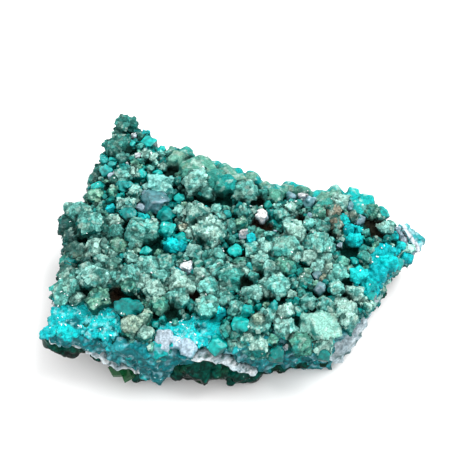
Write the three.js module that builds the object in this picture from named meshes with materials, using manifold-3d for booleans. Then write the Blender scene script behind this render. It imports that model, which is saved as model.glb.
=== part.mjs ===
// A dioptase crust: a hand-sized plate of pale, wavy matrix, overgrown on its upper face by a crust of
// blocky dioptase crystals and on its lower face by a thinner, dark green one.
// Millimetres, +Z up. The specimen lies on the broken, flat foot of its lower crust.
import * as THREE from "three";
import { mergeVertices } from "three/addons/utils/BufferGeometryUtils.js";
import Module from "manifold-3d";

const wasm = await Module();
wasm.setup();

// ---------------------------------------------------------------- driving dimensions
const PLATE_THICKNESS = 2; // away from the thick part on the right
const EDGE_INSET = 0.965; // edge crystals stand on the outline shrunk by this
const LAYER_GAP = 0.35; // clearance between the layers

const BED_TOP = 14; // crust surface that the crystals stand on, in the middle of the plate
const BED_RIM = 12; // the same at the plate's edge
const BED_SLOPE_WIDTH = 7; // distance over which the surface falls to the edge
const RIDGE = { x: -3, y: 17, reach: 9, rise: 1.6 }; // swell along the rear edge
const BED_CELL = 9; // spacing of the bed's surface points
const BED_ROUGHNESS = 0.45; // how far these points stray up and down
const THINNEST_CRUST = 1.6; // the bed's least height above the plate

const LOWER_SKIN = 2; // thickness of the lower crust away from its foot

const PIT_DEPTH = 1.1; // depth of a pit, as a share of its radius
const FACET_GRAIN = 0.28; // size below which details of the crystals are merged
const FINE_GRAIN = 0.1; // the same for the finished pieces, less than their clearance
const CRYSTAL_SEAT = 0.4; // how far a crystal's centre stands above the bed, as a share of its size
const FULL_TURN = Math.PI * 2;

// The matrix plate waves up and down along X, and is thicker on the right:
// [x, height of its upper face above the table, extra thickness on its underside].
const PLATE_WAVE = [
  [-48, 11.8, 0], [-33, 11.8, 0], [-27, 8.8, 0], [-23, 6.2, 0], [-18, 6, 0], [-13, 8.4, 0],
  [-6.5, 12.2, 0], [-2, 10.6, 0], [2, 6.6, 0], [5, 4.1, 0], [10, 4.1, 0], [15, 5.6, 0.6],
  [20, 8.6, 4], [27, 8.8, 4], [32, 8.6, 1], [39, 8.8, 0], [48, 8.8, 0],
];

// Edge of the plate, seen from above, anticlockwise from its front left corner.
const OUTLINE = [
  [-36.6, -20.2], [-33.5, -20.6], [-29.5, -20.6], [-26.5, -21.6], [-24, -22.2], [-20, -23],
  [-17, -24], [-14.5, -24.4], [-12, -23.6], [-9, -23.2], [-6.5, -23.6], [-2.5, -23.2], [1, -23.6],
  [4, -23.2], [6, -22], [8, -21], [10, -21], [14, -20.4], [18.5, -20.4], [20.8, -19.4],
  [22.8, -17.4], [24.4, -15], [25.8, -12.8], [27.5, -10.6], [29.5, -8.5], [30.6, -6],
  [32.5, -2.5], [35, 0.2], [36.6, 0.8], [38.8, 3.4], [38, 4.8], [36, 6.5], [34.5, 7.6],
  [33.2, 6.8], [32.2, 7.6], [31.2, 9.2], [30, 11.2], [28.3, 12.6], [26.3, 13.5], [24.4, 14.2],
  [22, 13.6], [20, 13.2], [16, 14.5], [12, 15.5], [9.6, 15], [8, 15.5], [6.6, 16.8], [5, 17.8],
  [2, 17.8], [0, 19.2], [-2, 20.5], [-6.5, 22.6], [-11, 24.8], [-14, 25], [-16.4, 25.6],
  [-18.6, 29], [-21.6, 32.6], [-24.4, 33.6], [-25.6, 32.2], [-26.4, 29.4], [-27.8, 26.8],
  [-28.6, 23], [-29.8, 20.6], [-30.2, 17.6], [-31, 15.6], [-31.6, 10.4], [-33.6, 8.8],
  [-35.6, 5.8], [-34.8, 1.6], [-34.7, -6.6], [-36.3, -10.4],
];

// Foot that the specimen rests on: the trimmed lower crust, well inside the plate's edge.
const FOOT_OUTLINE = [
  [-27.5, -14], [-24.5, -18.5], [-20.5, -21.4], [-15.5, -22.6], [-9, -22.2], [-3, -22.2],
  [3, -21.8], [6.5, -20.2], [12, -19.4], [18.5, -18.6], [21.5, -15.6], [26, -7], [29.5, 1],
  [28, 8], [20, 10.4], [8, 12.5], [-2, 17], [-14, 21.5], [-20, 25.5], [-24, 24.5],
  [-26.5, 15], [-28.5, 4],
];

// ---------------------------------------------------------------- where the crystals stand
// Each entry is [x, y, size], with size the distance from a crystal's middle to its tip.
const COATED_BLOCKS = [
  // the rear left point
  [-24.2, 29.8, 2.7], [-25.3, 25.8, 3.8], [-29.2, 18.5, 1.8], [-27.9, 17, 1.8],
  [-28.8, 12, 2], [-19.1, 22.8, 2], [-16.6, 22.6, 1.8], 
  // the rear ridge
  [-7.6, 16, 3.4], [-4.7, 12.6, 2.2], [6.3, 13, 1.8],
  [2.2, 9.6, 1.8], [-8.5, 6.8, 3.4], [2.2, 7.4, 1.8], [10.1, 6.9, 2.2],
  [12, 2, 2.7], [-5.1, 2.6, 3.8], 
  // the right
  [22.2, 9.8, 2.7], [28.4, 8.3, 1.8], [30.7, 9, 2], [30.9, 4.3, 2.1],
  [18, 4, 2.1], [17.2, -0.3, 2.6], [19, -2, 2.3],
  [15.1, -3.8, 2.1], [16.6, 7.5, 1.8],
  // the left
  [-32.8, 8.2, 2.3], [-34, 4.8, 2.3], [-29.5, 3.6, 2.9], 
  [-28, -1.3, 2.2], [-20.3, 2.7, 2.6], [-22.8, -0.7, 2.2],
  [-26.4, -4.2, 2], [-24.5, -6.1, 2.1], [-16.2, -5.8, 2.7], 
  [-21.8, -10.7, 2.1], [-17.2, -8.7, 2.2], [-14.5, -8.2, 2.1],
  [-33, -11.9, 2.5], [-30.3, -12.8, 2.1], [-26.5, -13.1, 3],
  // the middle
  [-8.3, -2.1, 2.3], [-3.9, -3.7, 2.6], [-3.7, -6.2, 2.3], [3.8, -1.9, 2.3], [6.3, -1.2, 2.3],
  [5.1, -4.4, 2.2], [10.1, -1.8, 3.2], [9.5, -5.5, 2.2], 
  [7.4, -8, 2.2], [-0.8, -8.7, 3.4], [-6.4, -8.1, 2.3], [-8.9, -9.4, 2.5], [-5.1, -11.2, 3.1],
  [-5.1, -15.6, 2.6], [5.9, -9.8, 1.8],
  [8, -11.1, 3], [10.1, -15.8, 2.5],
  // towards the front edge
  [16.1, -6.6, 2.6], [18.2, -4.8, 2], [20.3, -7.6, 2.5], [14, -8.4, 1.8], [19.7, -11.2, 2],
  [23.4, -11.8, 2.5], [14, -12.8, 2.2], [17.8, -14.8, 2.1],
  [21.3, -17, 3.4], [-19.3, -17.8, 2.7],
  [-15.9, -12, 2.3], [-12.2, -13.2, 2.5], [-17, -20, 2.1], [3.4, -21.3, 3.5],
  [10.5, -18.6, 2.7], [17.5, -18.3, 4], [14, -18.5, 3], 
  // smaller ones that fill the gaps
  [-23.9, 12, 2.4], [-2.6, 7.4, 2.3], [-26.4, 8.4, 2.3], [-32.6, -5.4, 2.2], [0.4, 4.2, 2.2],
  [-11.3, 11.3, 2.2], [-23.8, 20.8, 2.3], [7.2, 8.8, 2], [-18.6, -1.4, 2.3], [11.6, 10.6, 2.3],
  [24.2, -5.6, 2.2], [8, 2.4, 2], [14.6, 5, 2.2], [-13.4, 21.4, 2], [-12.4, -4.4, 2.1],
];
const BARE_PRISMS = [
  [-28, 22, 2.2], [-23.2, 16.4, 2.1], [-18.2, 26.7, 2.5],
  [-19.5, 17.3, 1.9], [-16.2, 15.2, 3.8], [-15.1, 24.2, 2],
  [-12.6, 24.2, 2], [-9.9, 23.2, 2.1], [-6.8, 20.9, 2.6], [-2.6, 17.4, 2.4], 
  [-1.6, 14.2, 2.6], [3.8, 16, 2.6], [2.4, 13.1, 3], [12, 14.2, 2.2], [14.5, 13.6, 1.9],
  [16.1, 10.2, 2.2], [24.5, 12.8, 2], [5.7, 6, 2],
  [-10.3, 3.2, 2], [-9.9, 1.1, 2.1], [27.2, 3, 2.5], [25.9, 5.8, 2.1], 
  [-22.4, 7.3, 2.6], [-24.5, 4.2, 2.1], [-17, 10.2, 2.1],
  [-19.1, 9.3, 1.9], [-13.7, 8.3, 2.6], [-32.8, 1.6, 2.1], [-32.4, -1, 2.1],
  [-20.3, -4.6, 2.1], [-27.8, -7.7, 3.2], [-20.8, -7.9, 2.9],
  [-13.7, 1.4, 2.4], [-12.8, -1.1, 2.1], [-0.5, -2.9, 2.9], 
  [-11.2, -10.2, 2], [-9.5, -6.2, 1.9], [3, -12.2, 2.2], [0.5, -15.5, 2.4],
  [-2.8, -15.9, 1.9], [6.8, -14.8, 2.2], [25.3, -10, 2.1],
  [-19.7, -14.8, 3.1], [1.5, -18.2, 2.4], [33.6, -0.2, 2.1], [31.8, -3.2, 2.2],
  [-3, -21.4, 2],
];
const DRUSY_KNOBS = [
  // the rear edge
  [-18.9, 29, 1.8], [-3.7, 20, 2.3], [9.5, 13.2, 1.8], [18, 12, 2.2],
  // the bare patches in the middle
  [3.4, 0.6, 1.8], [-18.9, 5.4, 2.3], [-11.4, -7.9, 1.9],
  // the right shoulder
  [28, 11, 2.4], [25.7, 9.3, 2.2], [22.8, 6.7, 1.9], [23, 1.7, 1.9], [25.1, 0.9, 2],
  [31.1, -0.6, 2.9], [28.2, -4.6, 3], [27.8, -7.6, 2.6], 
  // the front left ledge
  [-34.7, -14.2, 2.2], [-32.3, -14.8, 1.9], [-35, -18.2, 1.9], [-30.3, -17, 1.9],
  [-27.6, -15.8, 2], [-28.8, -19, 2.2], [-25.1, -18.2, 2.4], [-32, -19, 1.9],
  // the front middle ledge
  [-13.4, -20.4, 2.5], [-9.9, -17.8, 2.3], [-4.4, -19, 2.3],
  [-9.1, -21, 2.3], [-6.2, -21, 1.9],
  // the thin right tip
  [35.6, 4.4, 2], [36.8, 2.8, 1.8],
];
// Hollows between the crystals: [x, y, radius].
const PITS = [
  [-22.4, 23.1, 1.5], [-17, 20, 1.5], [-13.4, 18.7, 1.4], [-10.2, 20.4, 1.4], [-6.2, 9.8, 1.4],
  [-3.3, 10.1, 1.2], [4.6, 9.4, 1.3], [5.2, 3.6, 1.7], [-30.1, 0.2, 1.5], [-25.8, 1, 1.3],
  [-22, 4.6, 1.2], [-15.8, -1.6, 1.4], [2.2, -3.8, 1.1], [2.6, -10.6, 1.8], [-8, -12.6, 1.4],
  [7.4, -13.8, 1.6], [-23.6, -12.8, 1.5], [-15.3, -18, 1.5], [22.2, -2.7, 2], [29, 4.8, 1.4],
  [22.4, -9.6, 1.7], [17.8, -12.6, 1.8], [9.4, -21.6, 1.3],
];
// Crystals that hang from the front of the plate's lower face: [x, y, z of the middle, size].
const HANGING_CRYSTALS = [
  [-34.4, -18.8, 8.2, 2.2], [-31.8, -18.8, 8.2, 2], [-27.2, -20, 5, 1.8], [-24, -20.8, 3.4, 2],
  [-21, -21.4, 2.6, 2.3], [-18, -22, 2.6, 2.2], [-14.8, -22.6, 2.6, 2.9],
  [-10.6, -22.2, 4.6, 2.6], [-7, -22.4, 3.4, 3.6], [-3.6, -22, 4, 2.8], [0.8, -22.2, 2.4, 2.4],
  [3.6, -21.8, 1.6, 2.1], [9.8, -19.8, 1.2, 1.8], [13.6, -19.2, 1.8, 2], [17.4, -19, 2.4, 2.2],
];

// ---------------------------------------------------------------- surfaces
// A repeatable random number from 0 to 1 (the mulberry32 generator).
function seededRandom(seed) {
  let state = seed;
  return () => {
    state = (state + 0x6d2b79f5) | 0;
    let t = Math.imul(state ^ (state >>> 15), 1 | state);
    t = (t + Math.imul(t ^ (t >>> 7), 61 | t)) ^ t;
    return ((t ^ (t >>> 14)) >>> 0) / 4294967296;
  };
}

function between(random, low, high) {
  return low + (high - low) * random();
}

// Height of the plate's upper face and of its underside.
function plateFaces(x) {
  const next = Math.max(1, PLATE_WAVE.findIndex(([knot]) => knot >= x));
  const [startX, startTop, startExtra] = PLATE_WAVE[next - 1];
  const [endX, endTop, endExtra] = PLATE_WAVE[next];
  const along = THREE.MathUtils.smoothstep(x, startX, endX);
  const top = THREE.MathUtils.lerp(startTop, endTop, along);
  const extra = THREE.MathUtils.lerp(startExtra, endExtra, along);
  return { top, underside: top - PLATE_THICKNESS - extra };
}

function distanceToSegment(point, [ax, ay], [bx, by]) {
  const start = new THREE.Vector3(ax, ay, 0);
  const line = new THREE.Line3(start, new THREE.Vector3(bx, by, 0));
  return line.closestPointToPoint(point, true, new THREE.Vector3()).distanceTo(point);
}

function distanceToEdge(x, y) {
  const point = new THREE.Vector3(x, y, 0);
  const distances = OUTLINE.map((corner, i) =>
    distanceToSegment(point, corner, OUTLINE[(i + 1) % OUTLINE.length]),
  );
  return Math.min(...distances);
}

// Height of the crust's surface, without its crystals, at a place on the plate.
function bedHeight(x, y) {
  const inward = THREE.MathUtils.smoothstep(distanceToEdge(x, y), 0, BED_SLOPE_WIDTH);
  const away = Math.hypot(x - RIDGE.x, y - RIDGE.y) / RIDGE.reach;
  const ridge = RIDGE.rise * Math.exp(-away * away);
  const surface = THREE.MathUtils.lerp(BED_RIM, BED_TOP, inward) + ridge;
  return Math.max(surface, plateFaces(x).top + THINNEST_CRUST);
}

// ---------------------------------------------------------------- solids
function toSolid(geometry) {
  const bare = geometry.index ? geometry.toNonIndexed() : geometry.clone();
  bare.deleteAttribute("normal");
  bare.deleteAttribute("uv");
  const merged = mergeVertices(bare, 1e-4);
  return new wasm.Manifold(
    new wasm.Mesh({
      numProp: 3,
      vertProperties: new Float32Array(merged.attributes.position.array),
      triVerts: new Uint32Array(merged.index.array),
    }),
  );
}

function toGeometry(solid) {
  const mesh = solid.getMesh();
  return new THREE.BufferGeometry()
    .setAttribute("position", new THREE.BufferAttribute(mesh.vertProperties, 3))
    .setIndex(new THREE.BufferAttribute(mesh.triVerts, 1));
}

// The one outer skin of a solid, without crumbs beside it or hollows sealed inside it.
function outerSkin(solid) {
  return solid.decompose().reduce((a, b) => (b.volume() > a.volume() ? b : a));
}

// Merges the corners and facets that are smaller than a grain.
function tidied(solid, grain) {
  const geometry = toGeometry(solid.simplify(grain));
  const points = geometry.attributes.position.array;
  points.forEach((value, i) => {
    points[i] = Math.round(value / (grain / 2)) * (grain / 2);
  });
  return outerSkin(toSolid(geometry).simplify(grain));
}

// An outline grown or shrunk about the plate's middle.
function scaledOutline(outline, scale) {
  const middle = { x: 1, y: 4 };
  return outline.map(([x, y]) => [
    middle.x + (x - middle.x) * scale,
    middle.y + (y - middle.y) * scale,
  ]);
}

// An upright prism of an outline, from one height to another.
function uprightPrism(outline, low, high) {
  const shape = new THREE.Shape(outline.map(([x, y]) => new THREE.Vector2(x, y)));
  const prism = new THREE.ExtrudeGeometry(shape, { depth: high - low, bevelEnabled: false });
  return toSolid(prism.translate(0, 0, low));
}

// The space between two heights that vary along X, wide enough for the whole plate.
function wavyBand(lowAt, highAt) {
  const reach = { x: 48, y: 45, step: 2.25 };
  const profile = [];
  for (let x = -reach.x; x <= reach.x; x += reach.step) {
    profile.push(new THREE.Vector2(x, highAt(x)));
  }
  for (let x = reach.x; x >= -reach.x; x -= reach.step) {
    profile.push(new THREE.Vector2(x, lowAt(x)));
  }
  const band = new THREE.ExtrudeGeometry(new THREE.Shape(profile), {
    depth: 2 * reach.y,
    bevelEnabled: false,
  });
  return toSolid(band.translate(0, 0, -reach.y).rotateX(Math.PI / 2));
}

// A dioptase crystal: a six-sided prism with three rhombic faces on each end, its long axis along Z.
// radius is from that axis to a prism edge, tip is from the middle to an end.
function dioptaseCrystal(radius, tip) {
  const steepness = 1.1; // fall of a prism edge's top below the tip, per unit of radius
  const ring = (end) =>
    [0, 1, 2, 3, 4, 5].map((corner) => {
      const isLow = (corner + (end > 0 ? 0 : 1)) % 2 === 0;
      const fall = steepness * radius * (isLow ? 1 : 0.5);
      const angle = (FULL_TURN * corner) / 6;
      const z = end * Math.max(tip - fall, 0.05 * tip);
      return [radius * Math.cos(angle), radius * Math.sin(angle), z];
    });
  const points = [[0, 0, tip], ...ring(1), ...ring(-1), [0, 0, -tip]];
  const faces = [];
  for (let corner = 0; corner < 6; corner++) {
    const next = (corner + 1) % 6;
    faces.push([0, 1 + corner, 1 + next], [13, 7 + next, 7 + corner]);
    faces.push([1 + corner, 7 + corner, 1 + next], [1 + next, 7 + corner, 7 + next]);
  }
  return new THREE.BufferGeometry()
    .setAttribute("position", new THREE.Float32BufferAttribute(points.flat(), 3))
    .setIndex(faces.flat());
}

// Leans a crystal away from upright by up to maxLean, in any direction, and sets it in place.
function placeCrystal(geometry, random, maxLean, x, y, z) {
  const spin = between(random, 0, FULL_TURN);
  const direction = between(random, 0, FULL_TURN);
  const axis = new THREE.Vector3(Math.cos(direction), Math.sin(direction), 0);
  const lean = between(random, 0, maxLean);
  geometry.rotateZ(spin);
  geometry.applyQuaternion(new THREE.Quaternion().setFromAxisAngle(axis, lean));
  return toSolid(geometry.translate(x, y, z));
}

// Crystals of one habit on the bed. slimness is the prism's radius, as a share of the size.
function crystalsOnBed(places, { seed, slimness, maxLean, squat = 1 }) {
  const random = seededRandom(seed);
  return places.map(([x, y, size]) => {
    const radius = size * slimness * between(random, 0.92, 1.08);
    const crystal = dioptaseCrystal(radius, size * squat);
    return placeCrystal(crystal, random, maxLean, x, y, bedHeight(x, y) + CRYSTAL_SEAT * size);
  });
}

// Crystals along the plate's edge, at a height that varies along X.
function crystalsOnEdge({ seed, spacing, size, heightAt }) {
  const random = seededRandom(seed);
  const crystals = [];
  const path = scaledOutline(OUTLINE, EDGE_INSET);
  path.forEach(([ax, ay], i) => {
    const [bx, by] = path[(i + 1) % path.length];
    const count = Math.round(Math.hypot(bx - ax, by - ay) / spacing + between(random, -0.3, 0.3));
    for (let step = 0; step < count; step++) {
      const along = (step + 0.5) / count;
      const x = THREE.MathUtils.lerp(ax, bx, along);
      const y = THREE.MathUtils.lerp(ay, by, along);
      const z = heightAt(x) + between(random, -0.5, 0.5);
      const tip = size * between(random, 0.8, 1.2);
      crystals.push(placeCrystal(dioptaseCrystal(tip * 0.85, tip), random, 1.2, x, y, z));
    }
  });
  return crystals;
}

// Blunt, downward hollows with eight faces.
function pits() {
  const random = seededRandom(41);
  return PITS.map(([x, y, radius]) => {
    const hollow = new THREE.OctahedronGeometry(radius * 1.3);
    hollow.scale(1, 1, PIT_DEPTH * 1.6);
    return placeCrystal(hollow, random, 0.3, x, y, bedHeight(x, y) + radius * 0.5);
  });
}

// The crust's body: a block whose top follows the bed, with a little roughness of its own.
function bedBlock() {
  const size = { x: 80, y: 64 };
  const centreY = 5;
  const random = seededRandom(7);
  const columns = Math.round(size.x / BED_CELL);
  const rows = Math.round(size.y / BED_CELL);
  const block = new THREE.BoxGeometry(size.x, size.y, 1, columns, rows, 1);
  const merged = mergeVertices(block.deleteAttribute("normal").deleteAttribute("uv"), 1e-4);
  const points = merged.attributes.position;
  for (let i = 0; i < points.count; i++) {
    const x = points.getX(i);
    const y = points.getY(i) + centreY;
    const rough = between(random, -BED_ROUGHNESS, BED_ROUGHNESS);
    points.setY(i, y);
    points.setZ(i, points.getZ(i) > 0 ? bedHeight(x, y) + rough : 0);
  }
  return toSolid(merged);
}

// ---------------------------------------------------------------- the three pieces
const ABOVE = 40; // well above the specimen, for the cutting solids
const upperFace = (x) => plateFaces(x).top;
const underside = (x) => plateFaces(x).underside;
const lowerCrustTop = (x) => underside(x) - LAYER_GAP;

function matrixPlate() {
  return wavyBand(underside, upperFace).intersect(uprightPrism(OUTLINE, -1, ABOVE));
}

function upperCrust() {
  const body = bedBlock().intersect(uprightPrism(OUTLINE, -1, ABOVE));
  const crystals = [
    ...crystalsOnBed(COATED_BLOCKS, { seed: 11, slimness: 1.02, maxLean: 1.1 }),
    ...crystalsOnBed(BARE_PRISMS, { seed: 23, slimness: 0.86, maxLean: 0.9 }),
    ...crystalsOnBed(DRUSY_KNOBS, { seed: 37, slimness: 1.1, maxLean: 0.5, squat: 0.7 }),
    ...crystalsOnEdge({ seed: 43, spacing: 7, size: 2.6, heightAt: (x) => upperFace(x) + 2 }),
  ];
  const whole = wasm.Manifold.union([body, ...crystals]);
  const hollowed = whole.subtract(wasm.Manifold.union(pits()));
  const aboveThePlate = wavyBand((x) => upperFace(x) + LAYER_GAP, () => ABOVE);
  return tidied(hollowed, FACET_GRAIN).intersect(aboveThePlate);
}

function lowerCrust() {
  const random = seededRandom(59);
  const foot = uprightPrism(FOOT_OUTLINE, 0, ABOVE);
  const skin = wavyBand((x) => lowerCrustTop(x) - LOWER_SKIN, () => ABOVE).intersect(
    uprightPrism(scaledOutline(OUTLINE, 0.96), 0, ABOVE),
  );
  const crystals = HANGING_CRYSTALS.map(([x, y, z, size]) =>
    placeCrystal(dioptaseCrystal(size * 0.85, size), random, 0.8, x, y, z),
  );
  const edge = crystalsOnEdge({
    seed: 61,
    spacing: 8,
    size: 2.3,
    heightAt: (x) => lowerCrustTop(x) - 1.1,
  });
  const whole = wasm.Manifold.union([foot, skin, ...crystals, ...edge]);
  const aboveTable = uprightPrism(scaledOutline(OUTLINE, 1.2), 0, ABOVE);
  const trimmed = tidied(whole, FACET_GRAIN).intersect(aboveTable);
  return trimmed.intersect(wavyBand(() => -ABOVE, lowerCrustTop));
}

const PIECES = [
  { name: "matrix_plate", solid: matrixPlate(), color: 0xb9c3c4, roughness: 0.75 },
  { name: "upper_crystal_crust", solid: upperCrust(), color: 0x5fae98, roughness: 0.6 },
  { name: "lower_crystal_crust", solid: lowerCrust(), color: 0x14513f, roughness: 0.35 },
];

const specimen = new THREE.Group();
for (const { name, solid, color, roughness } of PIECES) {
  const material = new THREE.MeshStandardMaterial({ color, roughness, metalness: 0 });
  const mesh = new THREE.Mesh(toGeometry(tidied(solid, FINE_GRAIN)), material);
  mesh.name = name;
  specimen.add(mesh);
}

// The origin is under the middle of the whole specimen, on the table.
const bounds = new THREE.Box3().setFromObject(specimen, true);
const middle = bounds.getCenter(new THREE.Vector3());
specimen.position.set(-middle.x, -middle.y, -bounds.min.z);

export default specimen;
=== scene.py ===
"""A dioptase crust: a wavy plate of pale matrix between two crusts of crystals.

The upper crust is a heap of lumps with a crumbly pale coat, with bare teal crystals between them, drusy
turquoise ledges and a glassy wall down its front. The lower crust is dark green and glossy.

All the shapes are worked out in "survey" millimetres, the frame that the CAD's outline is drawn in, with the
table at z = 0. to_row() turns them into the row frame's metres. Each skin of the crust is a fused heap of
blocks, which is then warped, given relief and painted point by point.
"""

import math
import random

import bmesh
import bpy
import numpy as np
from mathutils import Euler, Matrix, Vector, kdtree, noise


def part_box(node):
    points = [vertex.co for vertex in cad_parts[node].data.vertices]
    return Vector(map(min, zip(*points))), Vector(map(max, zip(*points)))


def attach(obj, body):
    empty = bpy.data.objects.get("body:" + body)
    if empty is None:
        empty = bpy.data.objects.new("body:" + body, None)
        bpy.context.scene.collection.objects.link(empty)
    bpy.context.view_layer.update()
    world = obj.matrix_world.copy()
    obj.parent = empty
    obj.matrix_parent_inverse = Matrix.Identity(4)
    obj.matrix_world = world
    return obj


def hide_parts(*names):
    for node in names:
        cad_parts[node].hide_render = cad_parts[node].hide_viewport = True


noise.seed_set(1)  # noise_vector() would take its offsets from the clock otherwise
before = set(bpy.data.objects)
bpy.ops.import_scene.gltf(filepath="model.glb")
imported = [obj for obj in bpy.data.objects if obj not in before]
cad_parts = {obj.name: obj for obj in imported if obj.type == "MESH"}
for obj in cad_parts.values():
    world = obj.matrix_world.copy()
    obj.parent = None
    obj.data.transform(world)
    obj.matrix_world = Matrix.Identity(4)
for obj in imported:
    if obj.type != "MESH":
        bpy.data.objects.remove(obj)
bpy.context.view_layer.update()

MM = 0.001

# ------------------------------------------------------------------ the survey
# Edge of the specimen, seen from above, anticlockwise from its front left corner.
OUTLINE = [
    (-36.6, -20.2), (-33.5, -20.6), (-29.5, -20.6), (-26.5, -21.6), (-24, -22.2), (-20, -23), (-17, -24),
    (-14.5, -24.4), (-12, -23.6), (-9, -23.2), (-6.5, -23.6), (-2.5, -23.2), (1, -23.6), (4, -23.2),
    (6, -22), (8, -21), (10, -21), (14, -20.4), (18.5, -20.4), (20.8, -19.4), (22.8, -17.4), (24.4, -15),
    (25.8, -12.8), (27.5, -10.6), (29.5, -8.5), (30.6, -6), (32.5, -2.5), (35, 0.2), (36.6, 0.8),
    (38.8, 3.4), (38, 4.8), (36, 6.5), (34.5, 7.6), (33.2, 6.8), (32.2, 7.6), (31.2, 9.2), (30, 11.2),
    (28.3, 12.6), (26.3, 13.5), (24.4, 14.2), (22, 13.6), (20, 13.2), (16, 14.5), (12, 15.5), (9.6, 15),
    (8, 15.5), (6.6, 16.8), (5, 17.8), (2, 17.8), (0, 19.2), (-2, 20.5), (-6.5, 22.6), (-11, 24.8),
    (-14, 25), (-16.4, 25.6), (-18.6, 29), (-21.6, 32.6), (-24.4, 33.6), (-25.6, 32.2), (-26.4, 29.4),
    (-27.8, 26.8), (-28.6, 23), (-29.8, 20.6), (-30.2, 17.6), (-31, 15.6), (-31.6, 10.4), (-33.6, 8.8),
    (-35.6, 5.8), (-34.8, 1.6), (-34.7, -6.6), (-36.3, -10.4),
]
# The matrix plate as (x, height of its upper face, thickness). It waves up and down along x.
PLATE_WAVE = [
    (-48, 11.8, 2), (-33, 11.8, 2), (-27, 8.8, 2), (-23, 6.2, 2), (-18, 6, 2), (-13, 8.4, 2),
    (-6.5, 12.2, 2), (-2, 10.6, 2), (2, 6.6, 2), (5, 4.1, 2), (10, 4.1, 2), (15, 5.6, 2.6), (20, 8.6, 6),
    (27, 8.8, 6), (32, 8.6, 3), (39, 8.8, 2), (48, 8.8, 2),
]
# Lumps as (x, y, radius), by kind. They are read in the survey plane, seen from the camera.
# Blocky crystals under a pale, crumbly coat.
COATED = [
    (-25, 28.5, 1.5), (-18.7, 22.3, 1), (-17, 21.8, 1), (-15.5, 22, 1.2), (-14, 22.3, 1.2),
    (-16.7, 19.8, 0.7), (-15.2, 19, 0.9), (-29.3, 18.2, 1.1), (-24, 21.2, 1.1), (-23.3, 16.3, 1.7),
    (-21.2, 17, 1.2), (-17.8, 18.3, 0.9), (-30.2, 15.8, 0.9), (-30.8, 11, 0.8), (-20.6, 12.4, 1.3),
    (-22.5, 9, 1.8), (-19, 2, 3), (-24.3, 4.8, 1.6), (-23.8, 2, 1.6), (-29.6, 3.8, 2.6),
    (-27.4, 3.2, 1.5), (-32, 7, 2.3), (-28.2, -1.6, 1.8), (-26.2, -1.6, 1.1), (-26.8, -4.8, 1.5),
    (-24.4, -3.4, 1.1), (-31.6, -7.8, 1), (-27.7, -8.6, 2.8), (-32.6, -11.2, 2.6), (-30.8, -13.4, 1.6),
    (-24, -6.3, 1.6), (-20.5, -4.3, 1.3), (-17.3, -5.9, 2), (-14, -5.5, 1.8), (-24, -8.4, 1.3),
    (-21, -8.4, 2.2), (-17.8, -9, 1.2), (-14.6, -8.6, 1.5), (-18.4, -10.9, 0.9), (-15.9, -11.6, 1.9),
    (-17.2, -21.8, 1.6), (-7.8, 6.6, 2.6), (-11, 3.4, 1.2), (-9.2, 1.6, 1.2), (-5.2, 2.4, 3.1),
    (-8.2, -2.6, 1.5), (-5.8, -3.5, 1), (-3.9, -3.6, 1.6), (-3.4, -6.6, 1.6), (-4.6, -5.6, 1.3),
    (-0.4, 3.6, 1.3), (3.6, -2.1, 1.4), (6.2, -1.6, 1.7), (5.1, -4.7, 1.5), (1.4, -5.9, 0.8),
    (2, -7.7, 1.1), (-1.4, -6.4, 1.1), (10.3, -1.8, 2.6), (12.2, 2.1, 2), (12.2, -3.8, 1.4),
    (7.4, -6.9, 1.6), (8.4, -10.6, 2.3), (6, -9.6, 0.9), (-6.6, -8.4, 1.5), (-10.6, -10.5, 2.4),
    (-9, -9.3, 1.2), (-11, -13, 1.8), (-4.9, -11.4, 2.1), (-2.6, -11.2, 1.4), (-5.4, -15.4, 2.1),
    (-5.9, -13.7, 1.2), (-2, -13.8, 1.7), (3.4, -12.6, 1.8), (0.4, -15.9, 1.6), (6, -12.6, 1.1),
    (11, -12.6, 1), (11.3, -10.2, 1.1), (-7.3, 15, 2.6), (-6.2, 12.5, 2), (2.4, 12.8, 2.4),
    (1.9, 7.2, 1.4), (4, 7.7, 0.8), (-3.7, 7.4, 1.3), (-2.4, 5.6, 0.9), (-11, 7.2, 1.4), (9.8, 6.4, 1.4),
    (10.8, 4.6, 1.3), (8.9, 8.4, 0.8), (11.7, 8.4, 1.2), (7.2, 1.2, 1), (21.6, 9.4, 2), (20.5, 5, 1.3),
    (31, 3.2, 1.4), (18, 3.8, 1.5), (15.3, 4.3, 1.1), (17.3, -0.8, 2.4), (14.6, -1.2, 1), (15, -4, 1.6),
    (18.3, -4.2, 1.3), (16.6, -6.3, 1.5), (18.6, -6.6, 1), (20.5, -7.8, 1.7), (20, -11, 1.5),
    (23.3, -12.6, 1.7), (25.4, -14.2, 1), (26.8, -15.2, 0.8), (17.6, -15.5, 1.6), (21.3, -17, 2.7),
    (25.8, -15.8, 1.1), (14.3, -14.3, 1.3), (17, -24, 1.8), (3.4, -23.5, 2.7), (4.3, -19.7, 2),
    (-0.8, -24.2, 1.3), (6.2, -17.4, 1.4), (9.8, -20, 2.1), (9.9, -16.1, 1.4),
]
# The large pale lump at the front right, and what is grown to it.
BIG_PALE = [(16.2, -19.4, 3.6), (14.4, -20.6, 2.4), (18, -19.4, 2.6), (16.4, -21.8, 2.4)]
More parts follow.
